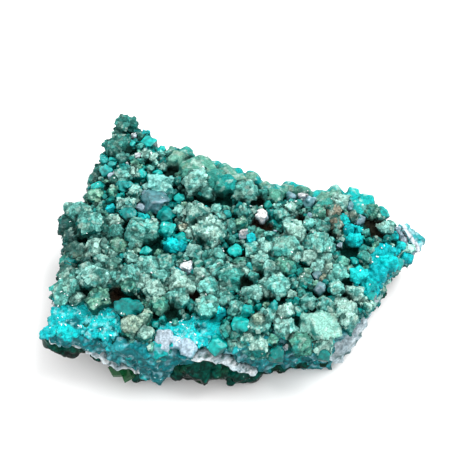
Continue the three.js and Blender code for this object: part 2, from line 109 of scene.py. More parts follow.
# With a duller, greener coat.
SAGE = [
    (-23.5, 30.6, 2.2), (-25, 25, 2.4), (-25.2, 29, 1.3), (-29, 11.5, 1.5), (-25.3, 12.6, 1.1),
    (-26.6, -13.7, 2.1), (-20.8, -10.9, 1.6), (-23.4, -1, 1.6), (4.9, -6.4, 1.2), (3.6, -8.4, 1),
    (-0.8, -8.8, 2.2), (9.8, -6, 1.8), (-7.6, -5.9, 1.2), (-14.5, -15, 1.5), (6.2, 12, 1.2),
    (1.2, 4.4, 1.3), (28.6, 7.3, 1.5), (17.8, 6.9, 1.5), (25.9, -3.9, 1.2), (24.1, -14.3, 1),
    (12.7, -23.6, 2.1), (0.2, -21.3, 1.3), (7.3, -23.2, 1.2), (13.9, -9.5, 1.4), (-1.6, -20.6, 1.2),
    (-20.5, -21, 1.3),
]
# With a cream coat.
CREAM = [
    (-23.2, -16.6, 1.4), (-19.8, -18.8, 1.9), (-17.4, -17.4, 1.4), (4.4, -18.8, 1.6), (5.6, -22.6, 1),
]
# With a brownish, tan coat.
TAN = [
    (20.2, 7.4, 1.7), (20.7, 4.3, 1.4), (20.9, 1.9, 1), (-10.4, 3.2, 1.3), (-8.8, 1.6, 0.9),
    (17.2, -8.6, 1),
]
# Pale mint, sparkling.
MINT = [(-16.3, 14.7, 2.4), (-14.6, 13.4, 1.6), (-18, 13.6, 1.4), (-13.4, 15.4, 1.2)]
# Bare, glassy crystals.
TEAL = [
    (-18.6, 25.8, 1.7), (-22.2, 25.4, 0.9), (-12.8, 23.5, 1.4), (-15.7, 23.9, 1.2), (-27.8, 20.8, 1.4),
    (-26, 20.8, 1), (-26, 19.5, 1), (-27, 18, 1.5), (-19.7, 17, 1.4), (-23.2, 14, 1.7), (-16, 17, 1.2),
    (-28.8, 13.6, 1.6), (-30.3, 13.2, 1), (-23.8, 11, 1.1), (-14, 6.5, 1.9), (-21.8, 6.8, 1.8),
    (-17.2, 1.4, 1.3), (-28.5, 5.5, 1.6), (-22.3, -3.8, 1), (-17.8, -2.8, 1.2), (-13.6, 2.5, 2),
    (-32.8, -4.7, 1.6), (-1.5, 6.6, 1.1), (-11.5, 10.8, 1.2), (7.6, 7, 1), (-10.8, 0.6, 1.6),
    (0.3, -2.4, 1.5), (2.9, -6.3, 1), (-0.9, -12.4, 1), (2, -16.6, 1.6), (11.3, -8.7, 0.9), (31, 7, 1.5),
    (24.1, -5, 1), (32.4, -5.6, 1.6), (34.6, 3.2, 0.8), (24.4, -17, 1.2), (26.8, -13.6, 1.2),
    (25.6, -10.4, 1.3), (21, -20, 1), (-3.4, -24, 2), (1.2, -19.4, 1.9), (7.5, -15.5, 1.2),
    (-20.5, -15.6, 2.4), (-33.5, -19, 1.2),
]
# Darker teal ones, low at the front edge.
CHIP = [(8, -26, 1.6), (17, -26, 1.5), (12.6, -24.8, 1.3)]
# Lavender to grey-blue crystals.
GREY = [
    (-19.2, 23.7, 0.8), (-18.7, 11.9, 1.1), (-16.5, 10, 2.6), (12, 11.3, 1.2), (16, 9.6, 1.5),
    (24, 8.6, 1.2), (25.7, 5.2, 1.4), (16.7, -11.2, 1.3), (16.5, -8, 1.2), (15.8, 6.4, 1),
]
# Pale blue, at the right-hand tip.
ICE = [(36.3, 1.2, 0.8), (38.2, -2.4, 0.8)]
# Dark grey-green lumps.
SLATE = [
    (-33, 1, 1.8), (-31.8, -2.2, 1.8), (-29.6, -4.8, 1), (-33.5, -7, 1.5), (-34.5, 3.8, 2),
    (-13.3, 22.4, 1), (10.4, 8.2, 0.8), (24.4, 5.8, 1.2),
]
# Bright, finely crystalline turquoise.
TURQUOISE = [
    (-19.3, 28.3, 1.2), (-25.4, 8, 1.2), (-18.8, 5.2, 1.6), (-12.6, -1.2, 1.8), (3.4, 0.4, 1.1),
    (-11.3, -7.8, 1.3), (-3, -16.3, 1.3), (-11, -1.2, 1.7), (-6.2, 8.1, 0.9), (22.5, 5.2, 1.4),
    (24.3, 0.2, 1.7), (23.4, 2.8, 1.2), (25.6, 2.6, 1), (30.6, -3, 2), (24.4, -8, 1.7), (28.6, -8, 2.1),
    (27, -10.6, 1.6), (31, -5.4, 1.8), (35.4, -4.2, 1.4), (34.2, -1.6, 1.3), (33, 1, 1.1),
    (-3.1, -18.7, 1.4), (15, -24.3, 1), (3.9, -24, 1.2),
]
# Smooth turquoise swells along the rear edge.
SWEEP = [
    (-3.8, 19.2, 1.7), (0.8, 17.3, 1.6), (4.6, 15.4, 1.4), (7.2, 12.9, 1.4), (9, 12.6, 1.7),
    (18.2, 11.3, 1.9), (21.5, 12, 2.1), (25.8, 8.3, 1.8), (28, 9.9, 2), (24.6, 10.8, 1.8), (4, 16.2, 1.9),
    (11.8, 14, 1.6), (14, 13.3, 1.5), (25.3, 12, 1.7),
]
# Large, smooth swells along the rear edge.
DRAPED = [
    (-10.6, 23, 1.8), (-7, 20, 2), (-3.3, 16.8, 1.6), (-2.4, 14, 2.2), (-12.2, 20.8, 2.2),
    (-9.4, 18.6, 2.8), (-6.4, 18.6, 2.6), (-4.4, 15.6, 2.6), (-1.8, 14.4, 2.4), (0.6, 14.6, 2.4),
    (-1.4, 17.2, 2), (8.6, 11.6, 1.8), (10.4, 12.6, 1.6), (14.6, 12.4, 1.8), (21.2, 10.4, 2.4),
    (18.8, 8.8, 2),
]
# White with a blue cast.
WHITE = [
    (-26.2, 16.6, 0.8), (-19.3, 8.5, 1.3), (-10.2, 18.8, 1.6), (7.8, 11.9, 0.6), (8.4, 2.3, 0.6),
    (22.9, 2.6, 0.7), (21.3, -1.1, 0.9), (31.8, -0.6, 0.8), (10.2, -21.5, 0.7), (-13.5, -23, 2.2),
    (-9, -24.8, 1.9), (-11.4, -23.6, 1.6), (34, 3.1, 1), (34.7, 1.4, 1), (35.3, -0.1, 1), (36, -1.6, 1),
    (36.7, -3, 0.9),
]
# Small and quite white.
SNOW = [
    (-22.1, 28, 0.7), (-20.5, 22.2, 0.7), (-22.9, 19.7, 0.5), (-25.2, 17.3, 0.5), (1.9, 2.1, 0.9),
    (5.8, 6.1, 1.4), (-9.5, -6.5, 1.4), (14.5, 11.2, 1.2), (1.1, -12.5, 0.5), (11.4, -23.6, 0.5),
    (9.8, -24.6, 0.5),
]
# Hollows as (x, y, radius, how brown), read in the survey plane too.
HOLLOWS = [
    (-22.6, 22.6, 1.2, 0), (-26.2, 21.9, 0.9, 0), (-18.5, 20, 1, 0), (-16.5, 19.7, 1, 0),
    (-13.3, 17.5, 1.8, 0.3), (-26.7, 13.5, 1.2, 0), (-21.9, 11.8, 1, 0), (-22, 4, 0.9, 0),
    (-30.5, 0.3, 1.3, 0), (-29, -3.3, 0.9, 0), (-16.2, -1.2, 1.3, 0), (-10.3, 20.8, 1.6, 0),
    (5, 13, 0.8, 0), (1.8, 9.3, 1, 0), (3.6, 9.3, 1, 0), (5.4, 9.1, 1, 0.5), (-7, 9.4, 1, 0),
    (-5, 9.5, 1, 0), (-3, 9.4, 1, 0), (-1.3, 9.2, 0.9, 0), (5.2, 4, 1.6, 1), (7, 2.9, 1, 1),
    (-9.6, 4.2, 0.7, 0), (-8, 2.4, 0.7, 0), (-6, -0.5, 1.2, 0), (2.4, -3.6, 1.1, 0.5),
    (2.4, -10.4, 1.6, 0.4), (4.6, -8, 0.9, 0.3), (-6.8, -9.9, 0.8, 0), (-7.9, -13.2, 1.2, 1),
    (-23.3, -13.3, 1.3, 1), (5.6, -13.9, 0.9, 0), (7.4, -13.9, 0.9, 0), (9.2, -13.9, 0.9, 0),
    (29.6, 2.9, 2.5, 0.8), (28, 4.6, 1.4, 0.8), (20.9, 1.3, 1, 0), (19.8, 0, 0.8, 0), (19.3, 1.8, 0.8, 0),
    (19.3, 4, 0.8, 0), (22.8, -3, 1.8, 0), (22.3, -10, 1.2, 0), (16, -12.7, 1, 0), (17.9, -12.7, 1.1, 0),
    (19.8, -12.7, 1, 0), (11, -22.6, 1.1, 0), (-12.5, -17, 1.5, 0.2), (9.5, -8, 0.9, 1),
    (13.6, 5, 1, 0.8), (-15.2, -17.2, 1.3, 0.2), (22, -13.6, 0.9, 0.2),
]
# Corners of the flat plate at the right-hand tip.
TIP_PLATE = [(34.6, 6.4, 12.9), (36, 7.2, 12.4), (40, 3.9, 10.8), (37.8, 0.9, 11.2), (35.9, 2.8, 12.4)]
# The ends of a white band across that plate.
TIP_BAND = [(35.1, 6.2), (38.2, 1.2)]
# Flat ledges of drusy turquoise as (x, y, half width, half depth, height).
LEDGES = [
    (-29.5, -18, 8.4, 4.6, 14.1), (-34.6, -15.6, 2.6, 5, 13.9), (-7.4, -19.8, 5.2, 3.6, 13.9),
    (-12.6, -20, 3, 2.6, 13.7), (30.2, -3.2, 2.8, 3, 14.6), (28.4, -7, 2.6, 3, 14.2),
    (26.6, -10.6, 1.6, 2, 13.9), (33.6, -0.4, 2, 1.6, 12.6),
]
# Crystals below the plate's front edge as (x, y, z, radius).
HANGING = [
    (-34.2, -19.4, 8.4, 1.7), (-32.8, -19.6, 7.8, 2.2), (-30.6, -19.4, 8.4, 1.9), (-27, -20.2, 5.6, 1.5),
    (-24.6, -20.8, 5, 1.4), (-18.6, -22.4, 2.6, 2.2), (-10.6, -22.6, 4.8, 2.6), (-7, -22.6, 4.4, 3.6),
    (-3.6, -22.4, 4.6, 3), (0.8, -22.6, 2.6, 2.6), (3.4, -22.2, 1.8, 2.2), (7, -20.8, 1.3, 1.6),
    (9.8, -20.2, 1.4, 1.9), (13.6, -19.6, 1.8, 1.9), (17.4, -19.4, 1.6, 1.6),
]
# The bright green crystals at the front edge as (x, y, z, radius).
BRIGHT_GREEN = [(-23, -22.8, 3.9, 2.2), (-20.8, -23, 3.4, 2.3)]
# Blocks of pale matrix that stand out at the front as (first x, last x, half thickness).
SEAM = [(-31, -27, 0.2), (-27, -18.6, 0.6), (-7.8, 4.2, 1.55)]
# Where the glassy wall hangs over the plate as (first x, last x, lowest, highest).
CURTAINS = [(-35.5, -24, 11.1, 13.2), (-14, -7.6, 9, 12.8), (4.6, 19.6, 1.2, 9.5), (28.4, 37, 6, 12.5)]
# The pale broken face at the lower right as (x, y, lowest, highest).
PALE_FACE = [
    (19.6, -19.9, 2.2, 6), (21, -19.2, 1.8, 7), (22.4, -17.8, 1.8, 7.8), (23.6, -16.2, 2.4, 8.4),
    (24.8, -14.4, 3.2, 8.8), (25.8, -12.8, 4.2, 9), (27, -11.2, 5.2, 9.2),
]
# Glassy ribs that run down the front over the plate as (x, y, lowest, highest, radius).
RIBS = [
    (-17.6, -23.3, 2.6, 13.2, 1.7), (-15, -23.6, 1.7, 12.6, 1.8), (-12.8, -23.2, 3.6, 12.4, 1.6),
    (-20.4, -22.6, 5.4, 13.2, 1.4), (-23, -22, 6.4, 12.8, 1.3),
]
SURVEY_PLANE = 16.5  # height of the plane that the lumps above are read in
SHEAR = 0.70  # shift in y, seen from the camera, per mm of height
SPAN_X = (-37, 39)  # the specimen lies between these
SPAN_Y = (-24, 34)

lowest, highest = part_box("matrix_plate")
SURVEY_TO_ROW = np.array([
    lowest.x / MM - min(x for x, y in OUTLINE),
    lowest.y / MM - min(y for x, y in OUTLINE),
    0.0,
])


def to_row(points):
    """Survey millimetres to the row frame's metres."""
    return (np.asarray(points, float) + SURVEY_TO_ROW) * MM


def on_plan(x, y, z):
    """Where a thing read at (x, y) in the survey plane lies if its height is z."""
    return x, y + (SURVEY_PLANE - z) * SHEAR


def smoothstep(value, low, high):
    t = np.clip((np.asarray(value, float) - low) / (high - low), 0, 1)
    return t * t * (3 - 2 * t)


def plate_faces(x):
    """Heights of the matrix plate's upper face and of its underside."""
    knots = np.array(PLATE_WAVE, float)
    x = np.asarray(x, float)
    i = np.clip(np.searchsorted(knots[:, 0], x) - 1, 0, len(knots) - 2)
    along = smoothstep((x - knots[i, 0]) / (knots[i + 1, 0] - knots[i, 0]), 0, 1)
    top = knots[i, 1] + (knots[i + 1, 1] - knots[i, 1]) * along
    thickness = knots[i, 2] + (knots[i + 1, 2] - knots[i, 2]) * along
    return top, top - thickness


def edge_distance(x, y):
    """Distance to the outline, positive inside it, for arrays of places."""
    x, y = np.asarray(x, float), np.asarray(y, float)
    nearest = np.full(x.shape, np.inf)
    inside = np.zeros(x.shape, bool)
    for (ax, ay), (bx, by) in zip(OUTLINE, OUTLINE[1:] + OUTLINE[:1]):
        t = ((x - ax) * (bx - ax) + (y - ay) * (by - ay)) / ((bx - ax) ** 2 + (by - ay) ** 2)
        t = np.clip(t, 0, 1)
        nearest = np.minimum(nearest, np.hypot(x - ax - t * (bx - ax), y - ay - t * (by - ay)))
        if ay != by:
            crosses = ((ay > y) != (by > y)) & (x < ax + (y - ay) * (bx - ax) / (by - ay))
            inside ^= crosses
    return np.where(inside, nearest, -nearest)


def ledge_share(x, y):
    """How far a place belongs to a ledge, 0 to 1, and the ledge's height there."""
    share = np.zeros(np.shape(x))
    height = np.full(np.shape(x), 14.0)
    for cx, cy, half_width, half_depth, z in LEDGES:
        away = np.hypot((x - cx) / half_width, (y - cy) / half_depth)
        here = 1 - smoothstep(away, 0.85, 1.15)
        height = np.where(here > share, z, height)
        share = np.maximum(share, here)
    return share, height


# The canopy is where the tops of middling lumps lie. All in mm.
RIM_HEIGHT = 14.1
CROWN_RISE = 2.4  # from the rim inwards
REAR_SWELL = 1.2
TIP_FALL = 3.2  # towards the right-hand tip
BED_DEPTH = 2.7  # from the canopy down to the bed between the lumps
LEDGE_BED_DEPTH = 0.8  # the same on the ledges


def canopy_height(x, y):
    """Height of the canopy, which dips at the rim, at the right-hand tip and on the ledges."""
    x, y = np.asarray(x, float), np.asarray(y, float)
    height = RIM_HEIGHT + CROWN_RISE * smoothstep(edge_distance(x, y), 0, 5)
    height = height + REAR_SWELL * np.exp(-(((x + 3) / 9) ** 2 + ((y - 16) / 6) ** 2))
    height = height - TIP_FALL * smoothstep(x, 29, 37)
    share, ledge = ledge_share(x, y)
    return height + (ledge - height) * share


def bed_height(x, y):
    """Height of the ground that the lumps stand on."""
    share = ledge_share(x, y)[0]
    below = BED_DEPTH * (1 - share) + LEDGE_BED_DEPTH * share
    return np.maximum(canopy_height(x, y) - below, plate_faces(x)[0] + 0.8)


def along_outline(spacing, inset):
    """Places `spacing` apart along the outline, moved inwards, with the direction outwards at each."""
    corners = np.array(OUTLINE + OUTLINE[:1])
    steps = np.diff(corners, axis=0)
    lengths = np.hypot(steps[:, 0], steps[:, 1])
    ends = np.concatenate([[0], np.cumsum(lengths)])
    places = []
    for s in np.arange(0, ends[-1] - spacing / 2, spacing):
        i = np.searchsorted(ends, s, side="right") - 1
        outward = np.array([steps[i, 1], -steps[i, 0]]) / lengths[i]
        place = corners[i] + steps[i] * (s - ends[i]) / lengths[i] - outward * inset
        places.append((*place, *outward))
    return places


# ------------------------------------------------------------------ solid building blocks
BOX_CORNERS = [(x, y, z) for x in (-1, 1) for y in (-1, 1) for z in (-1, 1)]
UPRIGHT = np.array([1, 1, 1.2])  # a block that is a little taller than wide
KNOB_REACH = 0.7  # how far out on a lump its smaller blocks are centred, as a share of its size


def hull_of(points):
    bm = bmesh.new()
    for p in points:
        bm.verts.new(p)
    bmesh.ops.convex_hull(bm, input=bm.verts)
    loose = [v for v in bm.verts if not v.link_faces]
    bmesh.ops.delete(bm, geom=loose, context="VERTS")
    bmesh.ops.recalc_face_normals(bm, faces=bm.faces)
    bm.verts.index_update()
    verts = np.array([v.co for v in bm.verts])
    faces = [[v.index for v in f.verts] for f in bm.faces]
    bm.free()
    return verts, faces


def dioptase_points():
    """The corners of a six-sided prism with three rhombic faces on each end."""
    radius = 0.85
    steepness = 1.1
    points = [(0, 0, 1), (0, 0, -1)]
    for end in (1, -1):
        for corner in range(6):
            is_low = (corner + (end < 0)) % 2 == 0
            fall = steepness * radius * (1 if is_low else 0.5)
            angle = math.tau * corner / 6
            points.append((radius * math.cos(angle), radius * math.sin(angle), end * max(1 - fall, 0.05)))
    return points


def blocky_points(rng):
    """A rhombohedral block with worn, uneven corners."""
    lean = rng.uniform(-0.25, 0.25)
    points = []
    for x, y, z in BOX_CORNERS:
        corner = Vector((x, y, z)) * 0.66
        corner.x += lean * z
        for axis in range(3):
            pale_highlight = corner.copy()
            pale_highlight[axis] *= rng.uniform(0.6, 0.9)
            points.append(pale_highlight * rng.uniform(0.86, 1.12))
    return points


def rhomb_points(rng):
    """The corners of a slightly irregular rhombohedron."""
    lean = rng.uniform(-0.3, 0.3)
    corners = [Vector((x + lean * z, y - lean * z, z)) * 0.7 for x, y, z in BOX_CORNERS]
    return [corner * rng.uniform(0.88, 1.1) for corner in corners]


template_rng = random.Random(5)
BLOCKS = [hull_of(blocky_points(template_rng)) for _ in range(16)]
CRYSTAL = hull_of(dioptase_points())
RHOMBS = [hull_of(rhomb_points(template_rng)) for _ in range(12)]
PRISMS = BLOCKS[:4] + [CRYSTAL] * 6


def random_turn(rng, lean):
    """A turn by any angle about z, after a lean of up to this much."""
    return Euler((rng.uniform(-lean, lean), rng.uniform(-lean, lean), rng.uniform(0, math.tau))).to_matrix()


def nudged(rng, turn, amount):
    """A turn close to another one."""
    return Euler([rng.uniform(-amount, amount) for _ in range(3)]).to_matrix() @ turn


def spot_in_ellipse(rng, cx, cy, half_width, half_depth):
    around, out = rng.uniform(0, math.tau), math.sqrt(rng.random())
    return cx + half_width * out * math.cos(around), cy + half_depth * out * math.sin(around)


class Builder:
    """Collects closed shells, to be fused into one skin."""

    def __init__(self):
        self.verts = []
        self.faces = []
        self.count = 0

    def add(self, verts, faces):
        self.verts.append(np.asarray(verts, float))
        self.faces.extend([[self.count + i for i in face] for face in faces])
        self.count += len(verts)

    def put(self, template, centre, size, turn):
        """Adds a template at this size, turn and place."""
        verts, faces = template
        self.add((verts * size) @ np.array(turn).T + np.asarray(centre, float), faces)

    def put_block(self, rng, centre, size, lean):
        """Adds a block picked and turned at random."""
        turn = random_turn(rng, lean)
        self.put(rng.choice(BLOCKS), centre, size, turn)

    def put_lump(self, rng, centre, radius, half_height, knobs, templates, turn):
        """Adds a block with smaller blocks grown into its upper side, all nearly parallel."""
        verts, faces = rng.choice(templates)
        size = np.array([radius * 1.14, radius * rng.uniform(1.0, 1.16), half_height])
        self.add(verts @ np.array(turn).T * size + centre, faces)
        for _ in range(knobs):
            around = rng.uniform(0, math.tau)
            rise = rng.uniform(-0.1, 0.95)
            out = math.sqrt(1 - rise * rise) * KNOB_REACH
            across = (radius * out * math.cos(around), radius * out * math.sin(around))
            spot = np.array(centre) + np.array([*across, half_height * rise * KNOB_REACH])
            knob = radius * rng.uniform(0.36, 0.68)
            self.put(rng.choice(templates), spot, knob, nudged(rng, turn, 0.3))

    def put_slab(self, step, top, bottom, inset):
        """Adds a closed slab inside the outline, between two height functions."""
        xs = np.arange(SPAN_X[0] - 1, SPAN_X[1] + 1.01, step)
        ys = np.arange(SPAN_Y[0] - 1, SPAN_Y[1] + 1.01, step)
        gx, gy = np.meshgrid(xs, ys, indexing="ij")
        inside = edge_distance(gx, gy) > inset
        cells = inside[:-1, :-1] & inside[1:, :-1] & inside[:-1, 1:] & inside[1:, 1:]
        upper = np.arange(gx.size).reshape(gx.shape)
        lower = upper + gx.size
        faces = []
        for i, j in zip(*np.nonzero(cells)):
            ring = [(i, j), (i + 1, j), (i + 1, j + 1), (i, j + 1)]
            faces.append([upper[corner] for corner in ring])
            faces.append([lower[corner] for corner in reversed(ring)])
            neighbours = [(i, j - 1), (i + 1, j), (i, j + 1), (i - 1, j)]
            for neighbour, a, b in zip(neighbours, ring, ring[1:] + ring[:1]):
                if not cells[neighbour]:
                    faces.append([lower[a], lower[b], upper[b], upper[a]])
        verts = [np.stack([gx, gy, height(gx, gy)], -1).reshape(-1, 3) for height in (top, bottom)]
        self.add(np.concatenate(verts), faces)

    def mesh(self, name):
        mesh = bpy.data.meshes.new(name)
        mesh.from_pydata(np.concatenate(self.verts).tolist(), [], self.faces)
        mesh.update()
        return mesh

    def fused(self, name, voxel):
        """One skin around everything, from Blender's voxel remesher."""
        parts = bpy.data.objects.new(name + "_parts", self.mesh(name + "_parts"))
        bpy.context.scene.collection.objects.link(parts)
        remesh = parts.modifiers.new("skin", "REMESH")
        remesh.mode = "VOXEL"
        remesh.voxel_size = voxel
        skin = bpy.data.meshes.new_from_object(parts.evaluated_get(bpy.context.evaluated_depsgraph_get()))
        mesh = parts.data
        bpy.data.objects.remove(parts)
        bpy.data.meshes.remove(mesh)
        skin.name = name
        return skin


# ------------------------------------------------------------------ colours
FULL_LIGHT = 1.56  # how bright a white surface would be if it faced up


def seen(r, g, b):
    """The linear colour that looks like this sRGB colour of 0 to 255 where it faces the light."""
    values = np.array([r, g, b], float) / 255
    linear = np.where(values <= 0.04045, values / 12.92, ((values + 0.055) / 1.055) ** 2.4)
    return linear / FULL_LIGHT


# Painted shade deep below the tops around and in the hollows; in brown hollows it is the dark brown of iron
# oxide.
CREVICE_SHADE = seen(0, 54, 46)
CREVICE_SHADE_BROWN = seen(40, 30, 20)
# Painted shade where two lumps meet and in the cracks between crumbs; the dark veins have this colour too.
VEIN_AND_SEAM_SHADE = seen(0, 72, 64)  # where two lumps meet
BED_TOP = seen(4, 100, 90)
BED_GREEN = seen(60, 134, 114)
BED_TEAL = seen(0, 136, 134)
# Painted shade on the bed's flanks.
BED_FLANK_SHADE = seen(0, 64, 58)
PATCH_TEAL = seen(8, 160, 152)
# Pale patches of coat, and painted highlights on faces turned up.
PALE_PATCH_AND_HIGHLIGHT = seen(206, 242, 228)
PATCH_TAN = seen(186, 172, 142)
PATCH_DARK = seen(8, 100, 90)
DRUSE_SHADE = seen(0, 150, 156)
# Painted glints on the turquoise lumps.
DRUSE_GLINT = seen(110, 240, 244)
LEDGE_MIDDLE = seen(0, 202, 210)
LEDGE_BRIGHT = seen(30, 240, 240)
LEDGE_RIGHT = seen(0, 190, 194)
LEDGE_SPOT = seen(0, 124, 132)
# Painted glints on the ledges.
LEDGE_GLINT = seen(170, 246, 250)
# Painted shade on the ledges' flanks.
LEDGE_FLANK_SHADE = seen(0, 128, 136)
TEAL_BLOTCH = seen(10, 128, 130)
TIP_TEAL = seen(40, 176, 184)
TIP_ICE = seen(170, 226, 234)
TIP_WHITE = seen(240, 246, 255)
WALL_PALE = seen(136, 190, 202)
# White of the flakes that stand for glints: a painted highlight.
GLINT = np.array([0.9, 0.95, 0.97])
MATRIX_BLUE = seen(176, 204, 214)
MATRIX_WHITE = seen(246, 252, 255)
MATRIX_LOW = seen(176, 202, 212)
MATRIX_STAIN = seen(50, 104, 100)
# Painted shade on the lower crust's faces turned down.
LOWER_SHADE = seen(0, 30, 24)
LOWER_TOP = seen(0, 92, 78)
LOWER_GREEN = seen(20, 72, 36)
BRIGHT = seen(24, 98, 52)

KINDS = {
    # name: (lumps, colours of the top, colour of the flanks as painted shade, knobs)
    "coated": (COATED, [(170, 242, 230), (142, 232, 220), (190, 244, 230), (124, 214, 202)],
               (14, 132, 128), 6),
    "pale": (BIG_PALE, [(160, 226, 210), (148, 220, 204)], (58, 156, 146), 3),
    "cream": (CREAM, [(186, 220, 198), (168, 212, 192)], (70, 124, 108), 4),
    "sweep": (SWEEP, [(0, 206, 204), (20, 190, 186), (44, 216, 210)], (0, 130, 130), 1),
    "sage": (SAGE, [(114, 198, 174), (92, 190, 178), (142, 212, 184)], (10, 106, 98), 6),
    "mint": (MINT, [(172, 242, 232), (150, 232, 224)], (44, 184, 180), 4),
    "draped": (DRAPED, [(66, 176, 162), (100, 180, 158), (28, 172, 166), (126, 196, 174)], (6, 112, 104), 1),
    "tan": (TAN, [(188, 196, 172), (176, 168, 148)], (84, 88, 76), 3),
    "crumb": ([], [(92, 192, 180), (46, 168, 160), (18, 150, 146), (124, 210, 190)], (10, 108, 104), 5),
    "rim": ([], [(24, 158, 152), (6, 134, 132), (60, 168, 154), (0, 168, 166)], (0, 92, 90), 1),
    "slate": (SLATE, [(70, 114, 110), (52, 98, 96), (90, 134, 126)], (12, 50, 50), 4),
    "teal": (TEAL, [(0, 184, 178), (6, 202, 194), (0, 156, 152), (44, 190, 186)], (0, 102, 102), 2),
    "chip": (CHIP, [(0, 152, 146), (0, 130, 124), (24, 164, 152)], (0, 84, 80), 3),
    "grey": (GREY, [(172, 200, 212), (140, 182, 196)], (66, 122, 132), 2),
    "ice": (ICE, [(150, 230, 234), (110, 212, 220)], (60, 164, 174), 3),
    "turquoise": (TURQUOISE, [(0, 234, 236), (0, 212, 220), (30, 240, 238)], (0, 152, 164), 5),
    "white": (WHITE, [(212, 234, 248), (198, 226, 242)], (130, 184, 198), 4),
    "snow": (SNOW, [(255, 255, 255), (246, 252, 255)], (176, 206, 220), 3),
    "glassy": ([], [(26, 169, 174), (8, 139, 148), (52, 175, 184), (16, 189, 188)], (18, 110, 116), 2),
}
GROWTH = {"coated": 1.14, "sage": 1.14, "cream": 1.1, "teal": 1.08, "slate": 1.12}  # how they crowd together
CALM = {"pale": 1.0, "sweep": 0.9, "draped": 0.7, "rim": 0.6, "white": 0.6}  # how smooth and even they are
# Lumps of these kinds get little of the painted shade where lumps meet.
SHEETS = ("draped", "sweep", "rim", "glassy", "pale")  # kinds that run into each other without dark seams
BARE = ("draped", "sweep", "rim", "pale")  # coated kinds without small crystals on them

# ------------------------------------------------------------------ where every lump stands
ROWS = 5  # rows of lumps that close the sides, at most
ROW_SPACING = 2.1
ROW_RISE = 1.8
FILL_STEP = 0.5

rng = random.Random(17)
lumps = []


def add_record(kind, x, y, top, radius, bottom):
    """Notes a lump of this kind between these two heights."""
    _, tops_of_kind, flank_shade, _ = KINDS[kind]
    half = max(radius * 0.85, (top - bottom) / 2)
    lumps.append({
        "kind": kind,
        "x": x,
        "y": y,
        "z": top - half,
        "radius": radius,
        "half": half,
        "top": seen(*rng.choice(tops_of_kind)) * rng.uniform(0.85, 1.12),
        "flank_shade": seen(*flank_shade),
        "turn": Euler([rng.uniform(0, math.tau) for _ in range(3)]).to_matrix(),
    })


for kind, (places, _, _, _) in KINDS.items():
    swell = 0.45 if kind == "sweep" else 0.75
    for x, y, radius in places:
        radius *= GROWTH.get(kind, 1.0)
        px, py = on_plan(x, y, SURVEY_PLANE - 0.5)
        top = float(canopy_height(px, py)) - 0.9 + swell * radius + rng.uniform(-0.35, 0.35)
        px, py = on_plan(x, y, top - 0.5 * radius)
        add_record(kind, px, py, top, radius, float(bed_height(px, py)) - 0.5)

# Smaller lumps fill what is left between these, but not the hollows or the ledges.
fx, fy = np.meshgrid(np.arange(*SPAN_X, FILL_STEP), np.arange(*SPAN_Y, FILL_STEP), indexing="ij")
room = np.minimum(edge_distance(fx, fy) + 0.2, 9)
room = np.where(ledge_share(fx, fy)[0] > 0.5, -9, room)
for lump in lumps:
    room = np.minimum(room, np.hypot(fx - lump["x"], fy - lump["y"]) - 0.9 * lump["radius"])
for x, y, radius, _ in HOLLOWS:
    px, py = on_plan(x, y, 15)
    room = np.minimum(room, np.hypot(fx - px, fy - py) - radius * 0.9)
while room.max() > 0.4:
    i, j = np.unravel_index(np.argmax(room), room.shape)
    px, py = fx[i, j] + rng.uniform(-0.15, 0.15), fy[i, j] + rng.uniform(-0.15, 0.15)
    radius = min(float(room[i, j]) + 0.3, rng.uniform(0.6, 1.2))
    kind = rng.choice(["crumb", "crumb", "crumb", "sage", "chip"])
    top = float(canopy_height(px, py)) - 1.25 + 0.75 * radius + rng.uniform(-0.8, 0.5)
    add_record(kind, px, py, top, radius, float(bed_height(px, py)) - 0.5)
    room = np.minimum(room, np.hypot(fx - px, fy - py) - 0.9 * radius)


def side_lump(x, y, radius, is_top):
    """The kind and radius of a lump in the sides, by where it stands."""
    if y < -13 and x < 26:
        on_ledge = float(ledge_share(x, y)[0]) > 0.3
        return ("turquoise" if is_top and on_ledge else "glassy"), radius
    if x > 24 and y < 3:
        return rng.choice(["rim", "turquoise", "turquoise"]), radius
    if x > 24:
        return rng.choice(["rim", "turquoise", "rim", "crumb"]), radius
    if x < -33 and y < -9:
        return ("turquoise" if is_top else "rim"), radius * 0.75
    if x < -24 and y < 20:
        return rng.choice(["crumb", "slate", "slate", "rim"]), radius
    if y > 8 and x > -14:
        return ("draped", radius + 0.5) if is_top else ("rim", radius)
    return rng.choice(["rim", "rim", "sage", "crumb"]), radius


# Rows of lumps close the sides, from the plate up to the top. They are smaller at the right-hand tip.
for row in range(ROWS):
    for x, y, _, _ in along_outline(ROW_SPACING, 0.8):
        low = float(plate_faces(x)[0]) + 0.6
        high = float(canopy_height(x, y)) - 0.5
        z = low + 0.9 + row * ROW_RISE
        if z > high - 0.3:
            continue
        kind, radius = side_lump(x, y, rng.uniform(1.0, 1.5), z + ROW_RISE > high - 0.3)
        nudge = rng.uniform(-0.35, 0.25)
        if x > 34.5:
            radius *= 0.6
            z -= 0.6
        add_record(kind, x + rng.uniform(-0.4, 0.4), y + nudge, z + radius * 0.85, radius, z - radius * 0.85)


